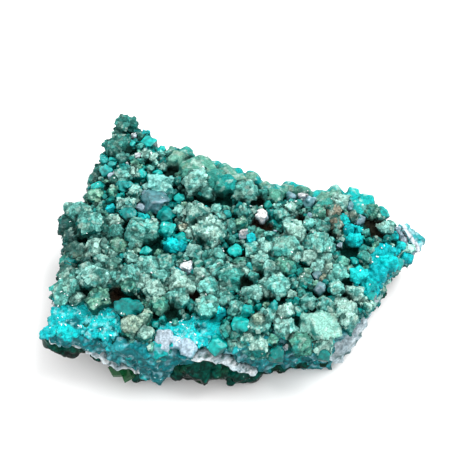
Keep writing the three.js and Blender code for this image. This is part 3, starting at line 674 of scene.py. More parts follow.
# ------------------------------------------------------------------ skins
COAT_KINDS = ("coated", "pale", "sage", "cream", "tan", "crumb", "rim", "draped", "sweep", "slate")
COAT_JOIN = -3  # the coat is two pieces, which meet at this x
LUMP_SKINS = {
    # name: (kinds of lump in it, seed of their shapes, templates for them, and maybe first x and last x)
    "coated_crust_left": (COAT_KINDS, 6, RHOMBS, -math.inf, COAT_JOIN),
    "coated_crust_right": (COAT_KINDS, 6, RHOMBS, COAT_JOIN, math.inf),
    "teal_crystals": (("teal", "grey", "ice", "chip"), 4, PRISMS),
    "turquoise_druse": (("turquoise",), 9, BLOCKS),
    "white_crystals": (("white", "mint", "snow"), 5, BLOCKS),
    "glassy_wall": (("glassy",), 6, BLOCKS),
}
COATS = ("coated_crust_left", "coated_crust_right")


def add_lumps(builder, kinds, seed, templates, first=-math.inf, last=math.inf):
    """The lumps of these kinds whose x lies from first to last."""
    shape_rng = random.Random(seed)
    for lump in lumps:
        kind = lump["kind"]
        if kind in kinds and first <= lump["x"] < last:
            centre = (lump["x"], lump["y"], lump["z"])
            size = (lump["radius"], lump["half"] * 1.08)
            shapes = BLOCKS if kind in CALM else templates
            builder.put_lump(shape_rng, centre, *size, KINDS[kind][3], shapes, lump["turn"])


def add_bed(builder):
    """The ground between the lumps, strewn with small blocks except in the hollows and on the ledges."""
    shape_rng = random.Random(61)
    builder.put_slab(0.8, bed_height, lambda x, y: plate_faces(x)[0] + 0.1, 0.9)
    holes = [(*on_plan(x, y, 14.5), radius) for x, y, radius, _ in HOLLOWS]
    for _ in range(2600):
        x, y = shape_rng.uniform(*SPAN_X), shape_rng.uniform(*SPAN_Y)
        in_hollow = any(math.hypot(x - hx, y - hy) < r for hx, hy, r in holes)
        if edge_distance(x, y) < 0.8 or in_hollow or float(ledge_share(x, y)[0]) > 0.4:
            continue
        size = shape_rng.uniform(0.45, 1.05)
        centre = (x, y, float(bed_height(x, y)) + shape_rng.uniform(-0.3, 0.45))
        block = shape_rng.choice(BLOCKS)
        builder.put(block, centre, size, random_turn(shape_rng, 1.2))


def add_ledges(builder):
    """The drusy ledges: a rough field of small blocks."""
    shape_rng = random.Random(71)
    for cx, cy, half_width, half_depth, z in LEDGES:
        for _ in range(int(half_width * half_depth * 11)):
            x, y = spot_in_ellipse(shape_rng, cx, cy, half_width, half_depth)
            if edge_distance(x, y) < 0.6:
                continue
            size = shape_rng.uniform(0.5, 1.0)
            centre = (x, y, z - 0.4 * size + shape_rng.uniform(-0.2, 0.2))
            builder.put_block(shape_rng, centre, size, 0.9)


def add_tip(builder):
    """The flat plate at the right-hand tip."""
    upper = np.array(TIP_PLATE)
    builder.add(*hull_of([*upper, *(upper - (0, 0, 1.6))]))


def add_wall_front(builder):
    """Glassy ribs down the front, each a stack of blocks, and blocks where the wall covers the plate."""
    shape_rng = random.Random(83)
    for x, y, low, high, radius in RIBS:
        for z in np.arange(low + radius * 0.6, high, radius * 0.75):
            size = radius * shape_rng.uniform(0.8, 1.1)
            spot = (x + shape_rng.uniform(-0.3, 0.3), y + shape_rng.uniform(-0.2, 0.4), z)
            builder.put_block(shape_rng, spot, size * UPRIGHT, 0.8)
    shape_rng = random.Random(89)
    for x, y, out_x, out_y in along_outline(1.3, 0.4):
        for first, last, low, high in CURTAINS:
            if out_y > 0 or not first < x < last:
                continue
            for z in np.arange(low, high, 1.3):
                size = shape_rng.uniform(0.85, 1.3)
                bulge = shape_rng.uniform(-0.3, 0.3)
                spot = (x + out_x * bulge, y + out_y * bulge, z + shape_rng.uniform(-0.3, 0.3))
                builder.put_block(shape_rng, spot, size * UPRIGHT, 1.0)


def add_plate(builder):
    """The matrix plate, with blocks that stand out where it shows at the front."""
    shape_rng = random.Random(127)
    builder.put_slab(0.6, lambda x, y: plate_faces(x)[0], lambda x, y: plate_faces(x)[1], 0.0)
    for first, last, half in SEAM:
        for x, y, _, _ in along_outline(0.55, 0.1):
            if y > -18 or not first < x < last:
                continue
            width = shape_rng.uniform(0.8, 1.3)
            size = np.array([width, 0.9, half * shape_rng.uniform(0.9, 1.05)])
            middle = float(np.mean(plate_faces(x))) + shape_rng.uniform(-0.1, 0.1)
            builder.put_block(shape_rng, (x, y, middle), size, 0.35)
    for one, other in zip(PALE_FACE, PALE_FACE[1:]):
        for share in (0, 0.5):
            x, y, bottom, top = (a + (b - a) * share for a, b in zip(one, other))
            size = np.array([1.3, 1.3, (top - bottom) / 2 * 1.35])
            builder.put_block(shape_rng, (x, y, (top + bottom) / 2), size, 0.15)


def add_lower(builder):
    """The lower crust: a slab that rises towards its edge, with lumps along its edge and its front."""
    shape_rng = random.Random(97)

    def underside(x, y):
        return plate_faces(x)[1] - 0.1

    def sole(x, y):
        lifted = smoothstep(8 - edge_distance(x, y), 0, 6)
        return np.minimum((plate_faces(x)[1] - 2.2) * lifted, plate_faces(x)[1] - 1.2).clip(0.0)

    builder.put_slab(0.8, underside, sole, 1.2)
    for x, y, z, radius in HANGING:
        turn = random_turn(shape_rng, 1.5)
        builder.put_lump(shape_rng, (x, y, max(z, radius * 0.7)), radius, radius, 5, BLOCKS, turn)
    for x, y, _, _ in along_outline(3.2, 1.6):
        if 18.5 < x < 29 and y < -6:  # the pale broken face
            continue
        z = float(plate_faces(x)[1]) - 1.1
        radius = shape_rng.uniform(1.2, 2.1)
        turn = random_turn(shape_rng, 1.5)
        builder.put_lump(shape_rng, (x, y, max(z, radius * 0.8)), radius, radius, 3, BLOCKS, turn)


COAT_RELIEF = (0.22, 0.06, 0.06, 0.14)
SKINS = {
    # name: (what adds its shapes beside the lumps, voxel, displacement), in mm. The displacement is
    # a warp of the shapes, soft swells, crumbs about 1 mm across and grains about 0.5 mm across.
    "crust_bed": (add_bed, 0.42, (0.4, 0.3, 0.3, 0.2)),
    "coated_crust_left": (None, 0.275, COAT_RELIEF),
    "coated_crust_right": (None, 0.275, COAT_RELIEF),
    "teal_crystals": (add_tip, 0.25, (0.12, 0.05, 0.0, 0.04)),
    "turquoise_druse": (add_ledges, 0.25, (0.3, 0.1, 0.16, 0.2)),
    "white_crystals": (None, 0.25, (0.4, 0.1, 0.2, 0.15)),
    "glassy_wall": (add_wall_front, 0.27, (0.5, 0.25, 0.05, 0.03)),
    "matrix": (add_plate, 0.4, (0.3, 0.4, 0.3, 0.12)),
    "lower_crust": (add_lower, 0.4, (0.5, 0.25, 0.08, 0.02)),
}
SMOOTH = ("glassy_wall", "lower_crust", "matrix")


def make_skin(name):
    add_others, voxel, _ = SKINS[name]
    builder = Builder()
    if name in LUMP_SKINS:
        add_lumps(builder, *LUMP_SKINS[name])
    if add_others:
        add_others(builder)
    return builder.fused(name, voxel)


def green_crystals():
    builder = Builder()
    shape_rng = random.Random(101)
    for x, y, z, radius in BRIGHT_GREEN:
        size = radius * np.array([1.15, 0.8, 0.65])
        builder.put(CRYSTAL, (x, y, z), size, random_turn(shape_rng, 0.3))
    return builder.mesh("green_crystal")


# ------------------------------------------------------------------ relief
def vectors(items, field):
    """One three-part value of every item, such as a mesh's points, as an array."""
    values = np.zeros(len(items) * 3, np.float32)
    items.foreach_get(field, values)
    return values.reshape(-1, 3).astype(float)


def noise_at(points, size, seed):
    """Smooth noise from -1 to 1, with features of about `size` millimetres."""
    shift = Vector((seed * 17.3, seed * 5.1, seed * 9.7))
    scale = 1.0 / size
    return np.array([noise.noise(Vector(p) * scale + shift) for p in points])


def cells_at(points, size, seed):
    """For each point, the distance to the nearest of many scattered spots, and how much more to the next."""
    shift = Vector((seed * 13.1, seed * 7.7, seed * 3.3))
    scale = 1.0 / size
    nearest = np.array([noise.voronoi(Vector(p) * scale + shift)[0][:2] for p in points])
    return nearest[:, 0], nearest[:, 1] - nearest[:, 0]


def warp_at(points, size):
    """A smoothly varying direction, up to about 1 long, at each point."""
    return np.array([noise.noise_vector(Vector(p) / size) for p in points])


lump_tree = kdtree.KDTree(len(lumps))
for i, lump in enumerate(lumps):
    lump_tree.insert((lump["x"], lump["y"], lump["z"]), i)
lump_tree.balance()
LUMP_KIND = np.array([lump["kind"] for lump in lumps])
LUMP_TOP = np.array([lump["top"] for lump in lumps])
LUMP_FLANK_SHADE = np.array([lump["flank_shade"] for lump in lumps])
LUMP_CALM = np.array([CALM.get(lump["kind"], 0.0) for lump in lumps])


def owners(points, kinds):
    """For each point, the lump it belongs to, how far out it lies (1 is that lump's surface) and how much
    further it is from the next lump."""
    jitter = np.stack([noise_at(points, 1.3, s) for s in (1, 2, 3)], 1) * 0.35
    owner = np.zeros(len(points), int)
    reach = np.full(len(points), 9.0)
    lead = np.zeros(len(points))
    for i, p in enumerate(points + jitter):
        best, second = 9.0, 9.0
        for _, index, _ in lump_tree.find_n(p, 9):
            lump = lumps[index]
            flat = math.hypot(p[0] - lump["x"], p[1] - lump["y"]) / lump["radius"]
            away = math.hypot(flat, (p[2] - lump["z"]) / lump["half"])
            if lump["kind"] in kinds and away < best:
                best, second = away, best
                owner[i] = index
            else:
                second = min(second, away)
        reach[i] = best
        lead[i] = second - best
    return owner, reach, lead


def relaxed(mesh, points, share, times):
    """The points moved again and again towards the middle of their neighbours, by this share of the way."""
    ends = np.zeros(len(mesh.edges) * 2, np.int32)
    mesh.edges.foreach_get("vertices", ends)
    one, other = ends.reshape(-1, 2).T
    here, there = np.concatenate([one, other]), np.concatenate([other, one])
    neighbours = np.maximum(np.bincount(here, minlength=len(points)), 1)
    for _ in range(times):
        total = [np.bincount(here, points[there, axis], len(points)) for axis in range(3)]
        points = points + (np.stack(total, 1) / neighbours[:, None] - points) * share[:, None]
    return points


class Surface:
    """The points of one skin in survey millimetres, and what is known about each."""

    def __init__(self, name, skin):
        self.name = name
        self.skin = skin
        self.points, self.normals = vectors(skin.vertices, "co"), vectors(skin.vertex_normals, "vector")
        count = len(self.points)
        self.crease = np.ones(count)  # how far from the crack between two crumbs
        self.apart = np.ones(count)  # how far from the seam between two lumps
        self.calm = np.zeros(count)
        if name in LUMP_SKINS:
            self.owner, self.reach, lead = owners(self.points, LUMP_SKINS[name][0])
            is_sheet = np.isin(LUMP_KIND[self.owner], SHEETS)
            self.apart = np.maximum(smoothstep(lead, 0.02, 0.25), 0.8 * is_sheet)
            self.calm = LUMP_CALM[self.owner]
        if self.calm.any():
            self.points = relaxed(skin, self.points, 0.7 * self.calm, 12)
        if name in SKINS:
            self.roughen(*SKINS[name][2])
        self.points[:, 2] = np.maximum(self.points[:, 2], 0.0)

    def roughen(self, warp, swell, crumb, grain):
        crumb_distance, self.crease = cells_at(self.points, 1.15, 1)
        grain_distance, _ = cells_at(self.points, 0.6, 2)
        relief = swell * noise_at(self.points, 1.8, 4)
        relief += crumb * (0.55 - crumb_distance) * 1.6
        relief += grain * (0.55 - grain_distance) * 1.6
        relief -= 0.4 * (1 - self.apart)
        shift = warp * (warp_at(self.points, 1.7) + 0.5 * warp_at(self.points, 0.8))
        shift += self.normals * relief[:, None]
        self.points = self.points + shift * (1 - 0.6 * self.calm)[:, None]


surface = {name: Surface(name, make_skin(name)) for name in SKINS}
surface["green_crystal"] = Surface("green_crystal", green_crystals())

# Heights of the tops, as a raster of all the upper surfaces, and the same evened out.
CELL = 0.5
RASTER_SIZE = (176, 144)
RASTER_ORIGIN = (-42, -32)
IN_RASTER = ("crust_bed", *COATS, "teal_crystals", "turquoise_druse", "white_crystals")


def raster_index(points):
    return tuple(((points[:, axis] - RASTER_ORIGIN[axis]) / CELL).astype(int) for axis in (0, 1))


def spread(raster, times, combine):
    for _ in range(times):
        stack = [np.roll(np.roll(raster, a, 0), b, 1) for a in (-1, 0, 1) for b in (-1, 0, 1)]
        raster = combine(stack, 0)
    return raster


tops = np.full(RASTER_SIZE, -1.0)
for name in IN_RASTER:
    np.maximum.at(tops, raster_index(surface[name].points), surface[name].points[:, 2])
around_tops = spread(spread(tops, 3, np.max), 3, np.mean)


def glint_shapes():
    """Small white flakes that stand for glints, as painted highlights: many on the ledges, some all over."""
    builder = Builder()
    shape_rng = random.Random(113)
    spots = []
    for cx, cy, half_width, half_depth, _ in LEDGES:
        for _ in range(int(half_width * half_depth * 0.6)):
            spots.append(spot_in_ellipse(shape_rng, cx, cy, half_width, half_depth))
    for _ in range(90):
        spots.append((shape_rng.uniform(*SPAN_X), shape_rng.uniform(*SPAN_Y)))
    for x, y in spots:
        z = float(tops[raster_index(np.array([[x, y]]))][0])
        if edge_distance(x, y) < 0.4 or z < 4:
            continue
        size = np.array([0.3, 0.14, 0.05]) * shape_rng.uniform(0.6, 1.1)
        builder.put_block(shape_rng, (x, y, z + 0.03), size, 0.7)
    return builder.mesh("glints")


surface["glints"] = Surface("glints", glint_shapes())

# ------------------------------------------------------------------ painting
DULL, SATIN, GLASSY, BRILLIANT = 0.12, 0.5, 0.85, 1.0  # gloss
HOLLOW_DEPTH = 14.5  # height at which the hollows are placed on the plan


def mix(a, b, share):
    """From colour a to colour b by this share. Each colour is one, or one for every point."""
    return a + (b - a) * np.asarray(share, float)[:, None]


def layered(points, *layers):
    """Layers of noise added up, each as (share, size of the features in mm, seed)."""
    return sum(share * noise_at(points, size, seed) for share, size, seed in layers)


def patches(points, low, high, *layers):
    """How far each point lies in a patch, 0 to 1. The patches are where the layers of noise come high."""
    return smoothstep(layered(points, *layers), low, high)


def lump_tint(here):
    """Each lump's own colour, darker on its flanks as painted shade, and how far each point faces up."""
    up = smoothstep(here.normals[:, 2] + 0.3 * noise_at(here.points, 1.6, 6), 0.0, 0.75)
    # Painted shade: the darker flank colour where a face turns away from up.
    return mix(LUMP_FLANK_SHADE[here.owner], LUMP_TOP[here.owner], up), up


# Each look gives a skin's colours and gloss.
def bed_look(here):
    rubble = mix(BED_TOP, BED_GREEN, patches(here.points, 0.0, 0.4, (1, 1.9, 20)))
    rubble = mix(rubble, BED_TEAL, patches(here.points, 0.15, 0.4, (1, 2.3, 21)))
    # Painted shade: the flank colour on faces that don't turn up.
    return mix(BED_FLANK_SHADE, rubble, smoothstep(here.normals[:, 2], 0.0, 0.75)), DULL


def coat_look(here):
    """Lumps with bare teal windows, painted pale highlights, tan stains, dark veins and painted seam shade.
    """
    points, rough = here.points, 1 - here.calm
    tint, up = lump_tint(here)
    window = patches(points, 0.25, 0.4, (1, 2.0, 12), (0.25, 0.6, 13)) * rough
    tint = mix(tint, PATCH_TEAL, window * 0.75)
    # Painted highlights: pale patches on faces turned up.
    pale_highlight = patches(points, 0.15, 0.4, (1, 1.1, 22), (0.3, 0.5, 23))
    tint = mix(tint, PALE_PATCH_AND_HIGHLIGHT, pale_highlight * up * 0.6)
    stain = patches(points, 0.32, 0.5, (1, 2.6, 27), (0.3, 0.7, 28))
    tint = mix(tint, PATCH_TAN, stain * up * 0.25)
    darker_left = np.interp(points[:, 0], (-26, -14, 2, 10), (0.19, 0, 0, -0.12))
    gloom = smoothstep(layered(points, (1, 1.3, 36), (0.3, 0.5, 37)) + darker_left, 0.12, 0.36)
    tint = mix(tint, PATCH_DARK, gloom * rough * 0.66)
    vein = 1 - smoothstep(np.abs(layered(points, (1, 1.5, 30), (0.3, 0.6, 31))), 0.02, 0.1)
    tint = mix(tint, VEIN_AND_SEAM_SHADE, vein * rough * 0.62)
    # Painted shade in the cracks between crumbs and where two lumps meet.
    crack = smoothstep(-here.crease, -0.12, -0.02) * rough
    seam = np.clip(1 - here.apart + 0.3 * crack, 0, 1)
    return mix(tint, VEIN_AND_SEAM_SHADE, seam * 0.75), DULL + 0.5 * window


def teal_look(here):
    """Bare crystals, the lavender ones with teal blotches, and the icy tip with its white band."""
    points = here.points
    tint, _ = lump_tint(here)
    blotch = patches(points, -0.05, 0.2, (1, 1.8, 34), (0.2, 0.6, 35)) * (LUMP_KIND == "grey")[here.owner]
    tint = mix(tint, TEAL_BLOTCH, blotch * 0.6)
    # Painted shade where two crystals meet.
    tint = mix(tint, VEIN_AND_SEAM_SHADE, (1 - here.apart) * 0.6)
    ice = mix(TIP_TEAL, TIP_ICE, patches(points, -0.1, 0.2, (1, 1.1, 38)))
    tint = mix(tint, ice, smoothstep(points[:, 0], 34, 34.8) * 0.8)
    (ax, ay), (bx, by) = TIP_BAND
    across = (points[:, 0] - ax) * (by - ay) - (points[:, 1] - ay) * (bx - ax)
    aside = np.abs(across / math.hypot(bx - ax, by - ay))
    band = (1 - smoothstep(aside, 0.35, 0.55)) * (points[:, 0] > 34)
    return mix(tint, TIP_WHITE, band), GLASSY


def druse_look(here):
    """Turquoise lumps with darker patches; ledges with painted glints, dark spots and a duller right end."""
    points = here.points
    tint, up = lump_tint(here)
    right_end = smoothstep(points[:, 0], 20, 24)
    # Painted glints: white flecks on the lumps' faces turned up and all over the ledges.
    glint_flecks = patches(points, 0.1, 0.4, (1, 0.7, 25), (0.3, 3.0, 26))
    tint = mix(tint, DRUSE_SHADE, patches(points, 0.0, 0.3, (1, 1.6, 32), (0.3, 0.6, 33)) * 0.6)
    tint = mix(tint, DRUSE_GLINT, glint_flecks * up * 0.2 * (1 - right_end))
    ledge = mix(LEDGE_MIDDLE, LEDGE_BRIGHT, np.clip(0.5 + 0.8 * noise_at(points, 2.5, 11), 0, 1))
    ledge = mix(ledge, LEDGE_RIGHT, right_end * 0.85)
    spot = patches(points, 0.34, 0.55, (1, 3.2, 14), (0.3, 0.8, 24))
    ledge = mix(ledge, LEDGE_SPOT, spot * (points[:, 0] < 20))
    # Painted glints on the ledges.
    ledge = mix(ledge, LEDGE_GLINT, glint_flecks * (0.6 - 0.58 * right_end))
    on_ledge = smoothstep(here.reach, 1.25, 1.5)
    # Painted shade: the flank colour on the ledges' faces that don't turn up.
    return mix(tint, mix(LEDGE_FLANK_SHADE, ledge, up), on_ledge), 0.45


def white_look(here):
    return lump_tint(here)[0], GLASSY


def wall_look(here):
    pale = patches(here.points, 0.14, 0.36, (1, 1.3, 15))
    return mix(lump_tint(here)[0], WALL_PALE, pale * 0.7), SATIN


def glint_look(here):
    return np.tile(GLINT, (len(here.points), 1)), BRILLIANT


def matrix_look(here):
    """Chalky white and pale blue, with a few stains, and a dull, spotted foot at the lower right."""
    points = here.points
    tint = mix(MATRIX_BLUE, MATRIX_WHITE, np.clip(0.5 + 0.9 * noise_at(points, 1.5, 16), 0, 1))
    # Painted light: faces that don't turn up are made up to half as bright again.
    tint = tint * (1 + 0.5 * (1 - smoothstep(here.normals[:, 2], -0.2, 0.6)))[:, None]
    at_right = smoothstep(points[:, 0], 17, 20)
    stain = patches(points, 0.24, 0.36, (1, 0.9, 17), (0.25, 0.5, 18))
    spot = patches(points, -0.04, 0.16, (1, 1.8, 29)) * (1 - smoothstep(points[:, 2], 5, 7))
    stain = np.maximum(stain * (1 - at_right), spot * at_right)
    tint = mix(tint, MATRIX_LOW, at_right * 0.6)
    return mix(tint, MATRIX_STAIN, stain * 0.85), 0.3


def lower_look(here):
    # Painted shade on faces turned down.
    tint = mix(LOWER_SHADE, LOWER_TOP, smoothstep(here.normals[:, 2], -0.2, 0.8))
    tint = mix(tint, LOWER_GREEN, patches(here.points, 0.1, 0.4, (1, 3.0, 19)) * 0.5)
    # Painted shade in the cracks between crumbs, down to 0.4 as bright.
    return tint * (0.4 + 0.6 * smoothstep(here.crease, 0.0, 0.2))[:, None], 0.9


def green_look(here):
    return np.tile(BRIGHT, (len(here.points), 1)), BRILLIANT


def hollows(points):
    """How much painted shade each point gets deep below the tops or in a hollow, and how brown, both 0 to 1.
    """
    x, y, z = points.T
    depth = around_tops[raster_index(points)] - z
    inner = smoothstep(edge_distance(x, y), 1.0, 3.0)
    cavity = smoothstep(depth, 2.0, 3.8) * inner * (1 - ledge_share(x, y)[0])
    brown = np.zeros(len(points))
    for hx, hy, radius, brownness in HOLLOWS:
        px, py = on_plan(hx, hy, HOLLOW_DEPTH)
        away = np.hypot(x - px, y - py) / radius
        hole = (1 - smoothstep(away, 0.8, 1.4)) * smoothstep(depth, 0.8, 2.2)
        cavity = np.maximum(cavity, hole * smoothstep(z, 8.5, 10.5))
        brown = np.maximum(brown, brownness * (1 - smoothstep(away, 0.7, 1.5)))
    return cavity, brown


def paint(mesh, name, values):
    """Writes a colour or a number for every point as a named attribute, which the material reads."""
    if values.ndim == 2:
        layer = mesh.attributes.new(name, "FLOAT_COLOR", "POINT")
        rgba = np.concatenate([values, np.ones((len(values), 1))], 1)
        layer.data.foreach_set("color", rgba.astype(np.float32).ravel())
    else:
        layer = mesh.attributes.new(name, "FLOAT", "POINT")
        layer.data.foreach_set("value", values.astype(np.float32))


def finish_mesh(mesh, points, tint, gloss):
    """Paints a mesh and puts its points, in survey millimetres, where they belong."""
    paint(mesh, "tint", tint)
    paint(mesh, "gloss", gloss)
    mesh.vertices.foreach_set("co", np.asarray(to_row(points), np.float32).ravel())
    mesh.update()


def finish_skin(here, look, has_hollows):
    points, calm = here.points, here.calm
    tint, gloss = look(here)
    here.cavity = np.zeros(len(points))
    if has_hollows:
        here.cavity, brown = hollows(points)
        # Painted shade deep down and in the hollows, brown where the hollows are.
        tint = mix(tint, mix(CREVICE_SHADE, CREVICE_SHADE_BROWN, brown), here.cavity)
    mottle_and_crack_shade = 1 + layered(points, (0.2, 2.4, 8), (0.38, 0.8, 9)) * (1 - 0.5 * calm)
    # Painted shade in the cracks between crumbs.
    mottle_and_crack_shade = mottle_and_crack_shade * (1 - 0.16 * (1 - 0.7 * calm) * (1 - smoothstep(here.crease, 0.0, 0.2)))
    here.tint = np.clip(tint * mottle_and_crack_shade[:, None], 0, 1)
    here.gloss = gloss * (1 - 0.7 * here.cavity)
    finish_mesh(here.skin, points, here.tint, here.gloss)
    if here.name in SMOOTH:
        here.skin.shade_smooth()


COVER_CELL = 1.5  # one small crystal on the coat in every cube this large


def crystal_cover():
    """Small sharp crystals all over the coated lumps, those on one lump lying nearly parallel."""
    builder = Builder()
    shape_rng = random.Random(131)
    # Sorted by their places, so that it doesn't matter how the remesher numbers the points.
    order = [(name, int(i)) for name in COATS for i in np.lexsort(surface[name].points.T)]
    shape_rng.shuffle(order)
    taken = set()
    tints = []
    glosses = []
    for name, i in order:
        here = surface[name]
        lump = lumps[here.owner[i]]
        cell = tuple((here.points[i] / COVER_CELL).astype(int))
        hidden = here.normals[i][2] < -0.2 or here.cavity[i] > 0.5 or here.apart[i] < 0.5
        if cell in taken or hidden or lump["kind"] in BARE:
            continue
        taken.add(cell)
        size = 0.22 + 0.4 * shape_rng.random() ** 2
        turn = nudged(shape_rng, lump["turn"], 0.3)
        spot = here.points[i] - here.normals[i] * 0.3 * size
        template = CRYSTAL if shape_rng.random() < 0.35 else shape_rng.choice(RHOMBS)
        builder.put(template, spot, size, turn)
        tint = here.tint[i] * shape_rng.uniform(0.85, 1.25)
        if lump["kind"] != "slate" and shape_rng.random() < 0.12:
            tint = tint + (PALE_PATCH_AND_HIGHLIGHT - tint) * 0.5
        count = len(template[0])
        tints.append(np.tile(np.clip(tint, 0, 1), (count, 1)))
        glosses.append(np.full(count, here.gloss[i] + 0.15))
    mesh = builder.mesh("coat_crystals")
    points = vectors(mesh.vertices, "co")
    points[:, 2] = np.maximum(points[:, 2], 0.0)
    finish_mesh(mesh, points, np.concatenate(tints), np.concatenate(glosses))
    return mesh


# ------------------------------------------------------------------ materials
def add_node(tree, kind, **inputs):
    """A new node. An input given another node's output is linked to it, and any other is set."""
    node = tree.nodes.new("ShaderNode" + kind)
    for name, value in inputs.items():
        socket = node.inputs[name.replace("_", " ")]
        if isinstance(value, bpy.types.NodeSocket):
            tree.links.new(value, socket)
        else:
            socket.default_value = value
    return node


def new_tree(name):
    material = bpy.data.materials.new(name)
    material.use_nodes = True
    material.node_tree.nodes.clear()
    return material, material.node_tree


def painted(tree, name, output):
    """What a node that reads a painted attribute gives."""
    node = add_node(tree, "Attribute")
    node.attribute_name = name
    return node.outputs[output]


def ranged(tree, value, from_range, to_range):
    node = add_node(tree, "MapRange", Value=value, From_Min=from_range[0], From_Max=from_range[1],
                    To_Min=to_range[0], To_Max=to_range[1])
    return node.outputs[0]


def crust_material(name, low, high, bump, grain_size=0.45, specular=0.12, transmission=0.0, glint_flecks=None):
    """The painted tint times a fine grain from low to high, roughness from the painted gloss, and maybe
    flecks of painted glints, given as (size in mm, noise level where they start, colour)."""
    material, tree = new_tree(name)
    place = add_node(tree, "TexCoord").outputs["Object"]
    grain = add_node(tree, "TexNoise", Vector=place, Scale=1 / (grain_size * MM), Detail=3).outputs["Fac"]
    brightness = ranged(tree, grain, (0.35, 0.62), (low, high))
    tinted = tree.nodes.new("ShaderNodeVectorMath")
    tinted.operation = "SCALE"
    tree.links.new(painted(tree, "tint", "Color"), tinted.inputs[0])
    tree.links.new(brightness, tinted.inputs["Scale"])
    colour = tinted.outputs[0]
    # Flecks of painted glints.
    if glint_flecks:
        size, start, glint_colour = glint_flecks
        flakes = add_node(tree, "TexNoise", Vector=place, Scale=1 / (size * MM), Detail=2).outputs["Fac"]
        blend = tree.nodes.new("ShaderNodeMix")
        blend.data_type = "RGBA"
        tree.links.new(ranged(tree, flakes, (start, start + 0.06), (0, 1)), blend.inputs["Factor"])
        tree.links.new(colour, blend.inputs[6])
        blend.inputs[7].default_value = (*glint_colour, 1)
        colour = blend.outputs[2]
    relief = add_node(tree, "Bump", Strength=bump, Distance=0.2 * MM, Height=grain)
    shader = add_node(
        tree, "BsdfPrincipled", Base_Color=colour, Normal=relief.outputs[0],
        Roughness=ranged(tree, painted(tree, "gloss", "Fac"), (0, 1), (0.85, 0.12)),
        Transmission_Weight=transmission, Specular_IOR_Level=specular, IOR=1.6 if transmission else 1.5,
    )
    add_node(tree, "OutputMaterial", Surface=shader.outputs[0])
    return material


# ------------------------------------------------------------------ pieces
def add_piece(name, mesh, material, node, slot):
    obj = bpy.data.objects.new(name, mesh)
    bpy.context.scene.collection.objects.link(obj)
    mesh.materials.clear()
    mesh.materials.append(material)
    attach(obj, "root")
    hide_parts(node)


# The CAD node that a piece stands for, and its material slot.
UPPER = ("upper_crystal_crust", "upper_crystals")
MATRIX = ("matrix_plate", "matrix")
LOWER = ("lower_crystal_crust", "lower_crystals")
# Flecks of painted glints for the glassy wall and the lower crust: (size in mm, noise level where they
# start, colour).
WALL_GLINTS = (0.7, 0.68, (0.4, 0.62, 0.66))
LOWER_GLINTS = (0.6, 0.7, (0.25, 0.45, 0.4))
COAT = crust_material("coat", 0.64, 1.22, 0.6, 0.32)
PIECES = [
    # name, what it stands for, look, material
    ("crust_bed", UPPER, bed_look, crust_material("bed", 0.5, 1.2, 0.6, 0.4, specular=0.05)),
    ("coated_crust_left", UPPER, coat_look, COAT),
    ("coated_crust_right", UPPER, coat_look, COAT),
    ("teal_crystals", UPPER, teal_look, crust_material("teal", 0.7, 1.2, 0.15, 0.8, specular=0.3)),
    ("turquoise_druse", UPPER, druse_look, crust_material("druse", 0.7, 1.25, 0.5, 0.3)),
    ("white_crystals", UPPER, white_look, crust_material("white", 0.65, 1.15, 0.5)),
    ("glassy_wall", UPPER, wall_look, crust_material("glassy", 0.6, 1.25, 0.3, 0.7, glint_flecks=WALL_GLINTS)),
    ("glints", UPPER, glint_look, crust_material("glint", 0.9, 1.05, 0.1, specular=0.3)),
    ("matrix", MATRIX, matrix_look, crust_material("matrix", 0.6, 1.1, 0.7)),
    ("lower_crust", LOWER, lower_look,
     crust_material("lower", 0.5, 1.3, 0.2, 0.7, specular=0.06, glint_flecks=LOWER_GLINTS)),
    ("green_crystal", LOWER, green_look,
     crust_material("green", 0.8, 1.2, 0.1, 0.8, specular=0.15, transmission=0.15)),
]
for name, stands_for, look, material in PIECES:
    finish_skin(surface[name], look, stands_for is UPPER and name != "glints")
    add_piece(name, surface[name].skin, material, *stands_for)
add_piece("coat_crystals", crystal_cover(), crust_material("coat_crystal", 0.7, 1.2, 0.3, 0.4), *UPPER)

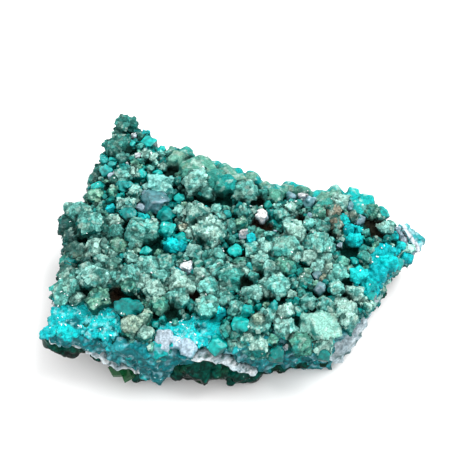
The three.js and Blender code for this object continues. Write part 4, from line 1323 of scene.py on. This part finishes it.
# ------------------------------------------------------------------ camera and light
CAMERA_ELEVATION = math.radians(55)
CAMERA_DISTANCE = 221.0
CAMERA_AIM = (-1.9, 6.4, 12.5)
CAMERA_LENS = 85
KEY_PLACE = (0.24, 0.14, 0.5)
KEY_SIZE = 0.4
KEY_POWER = 2.8
SKY_STRENGTH = 1.3
FLOOR_HALF = 2

scene = bpy.context.scene
camera_data = bpy.data.cameras.new("camera")
camera_data.lens = CAMERA_LENS
camera_data.sensor_width = 36
camera_data.clip_start = 0.01
camera = bpy.data.objects.new("camera", camera_data)
scene.collection.objects.link(camera)
aim = Vector(to_row([CAMERA_AIM])[0])
back = Vector((0, -math.cos(CAMERA_ELEVATION), math.sin(CAMERA_ELEVATION)))
camera.location = aim + back * CAMERA_DISTANCE * MM
camera.rotation_euler = back.to_track_quat("Z", "Y").to_euler()
scene.camera = camera

key_data = bpy.data.lights.new("key", "AREA")
key_data.shape = "DISK"
key_data.size = KEY_SIZE
key_data.energy = KEY_POWER
key = bpy.data.objects.new("key", key_data)
scene.collection.objects.link(key)
key.location = KEY_PLACE
key.rotation_euler = (-Vector(KEY_PLACE)).to_track_quat("-Z", "Y").to_euler()

world = bpy.data.worlds.new("studio")
scene.world = world
world.use_nodes = True
background = world.node_tree.nodes["Background"]
background.inputs["Color"].default_value = (1, 1, 1, 1)
background.inputs["Strength"].default_value = SKY_STRENGTH

floor_mesh = bpy.data.meshes.new("floor")
floor_corners = [(x * FLOOR_HALF, y * FLOOR_HALF, 0) for x, y in ((-1, -1), (1, -1), (1, 1), (-1, 1))]
floor_mesh.from_pydata(floor_corners, [], [[0, 1, 2, 3]])
floor = bpy.data.objects.new("floor", floor_mesh)
scene.collection.objects.link(floor)
floor_material, floor_tree = new_tree("floor")
floor_shader = add_node(floor_tree, "BsdfPrincipled", Base_Color=(0.9, 0.9, 0.9, 1), Roughness=0.9)
add_node(floor_tree, "OutputMaterial", Surface=floor_shader.outputs[0])
floor_mesh.materials.append(floor_material)

scene.view_settings.view_transform = "Standard"
scene.view_settings.look = "None"
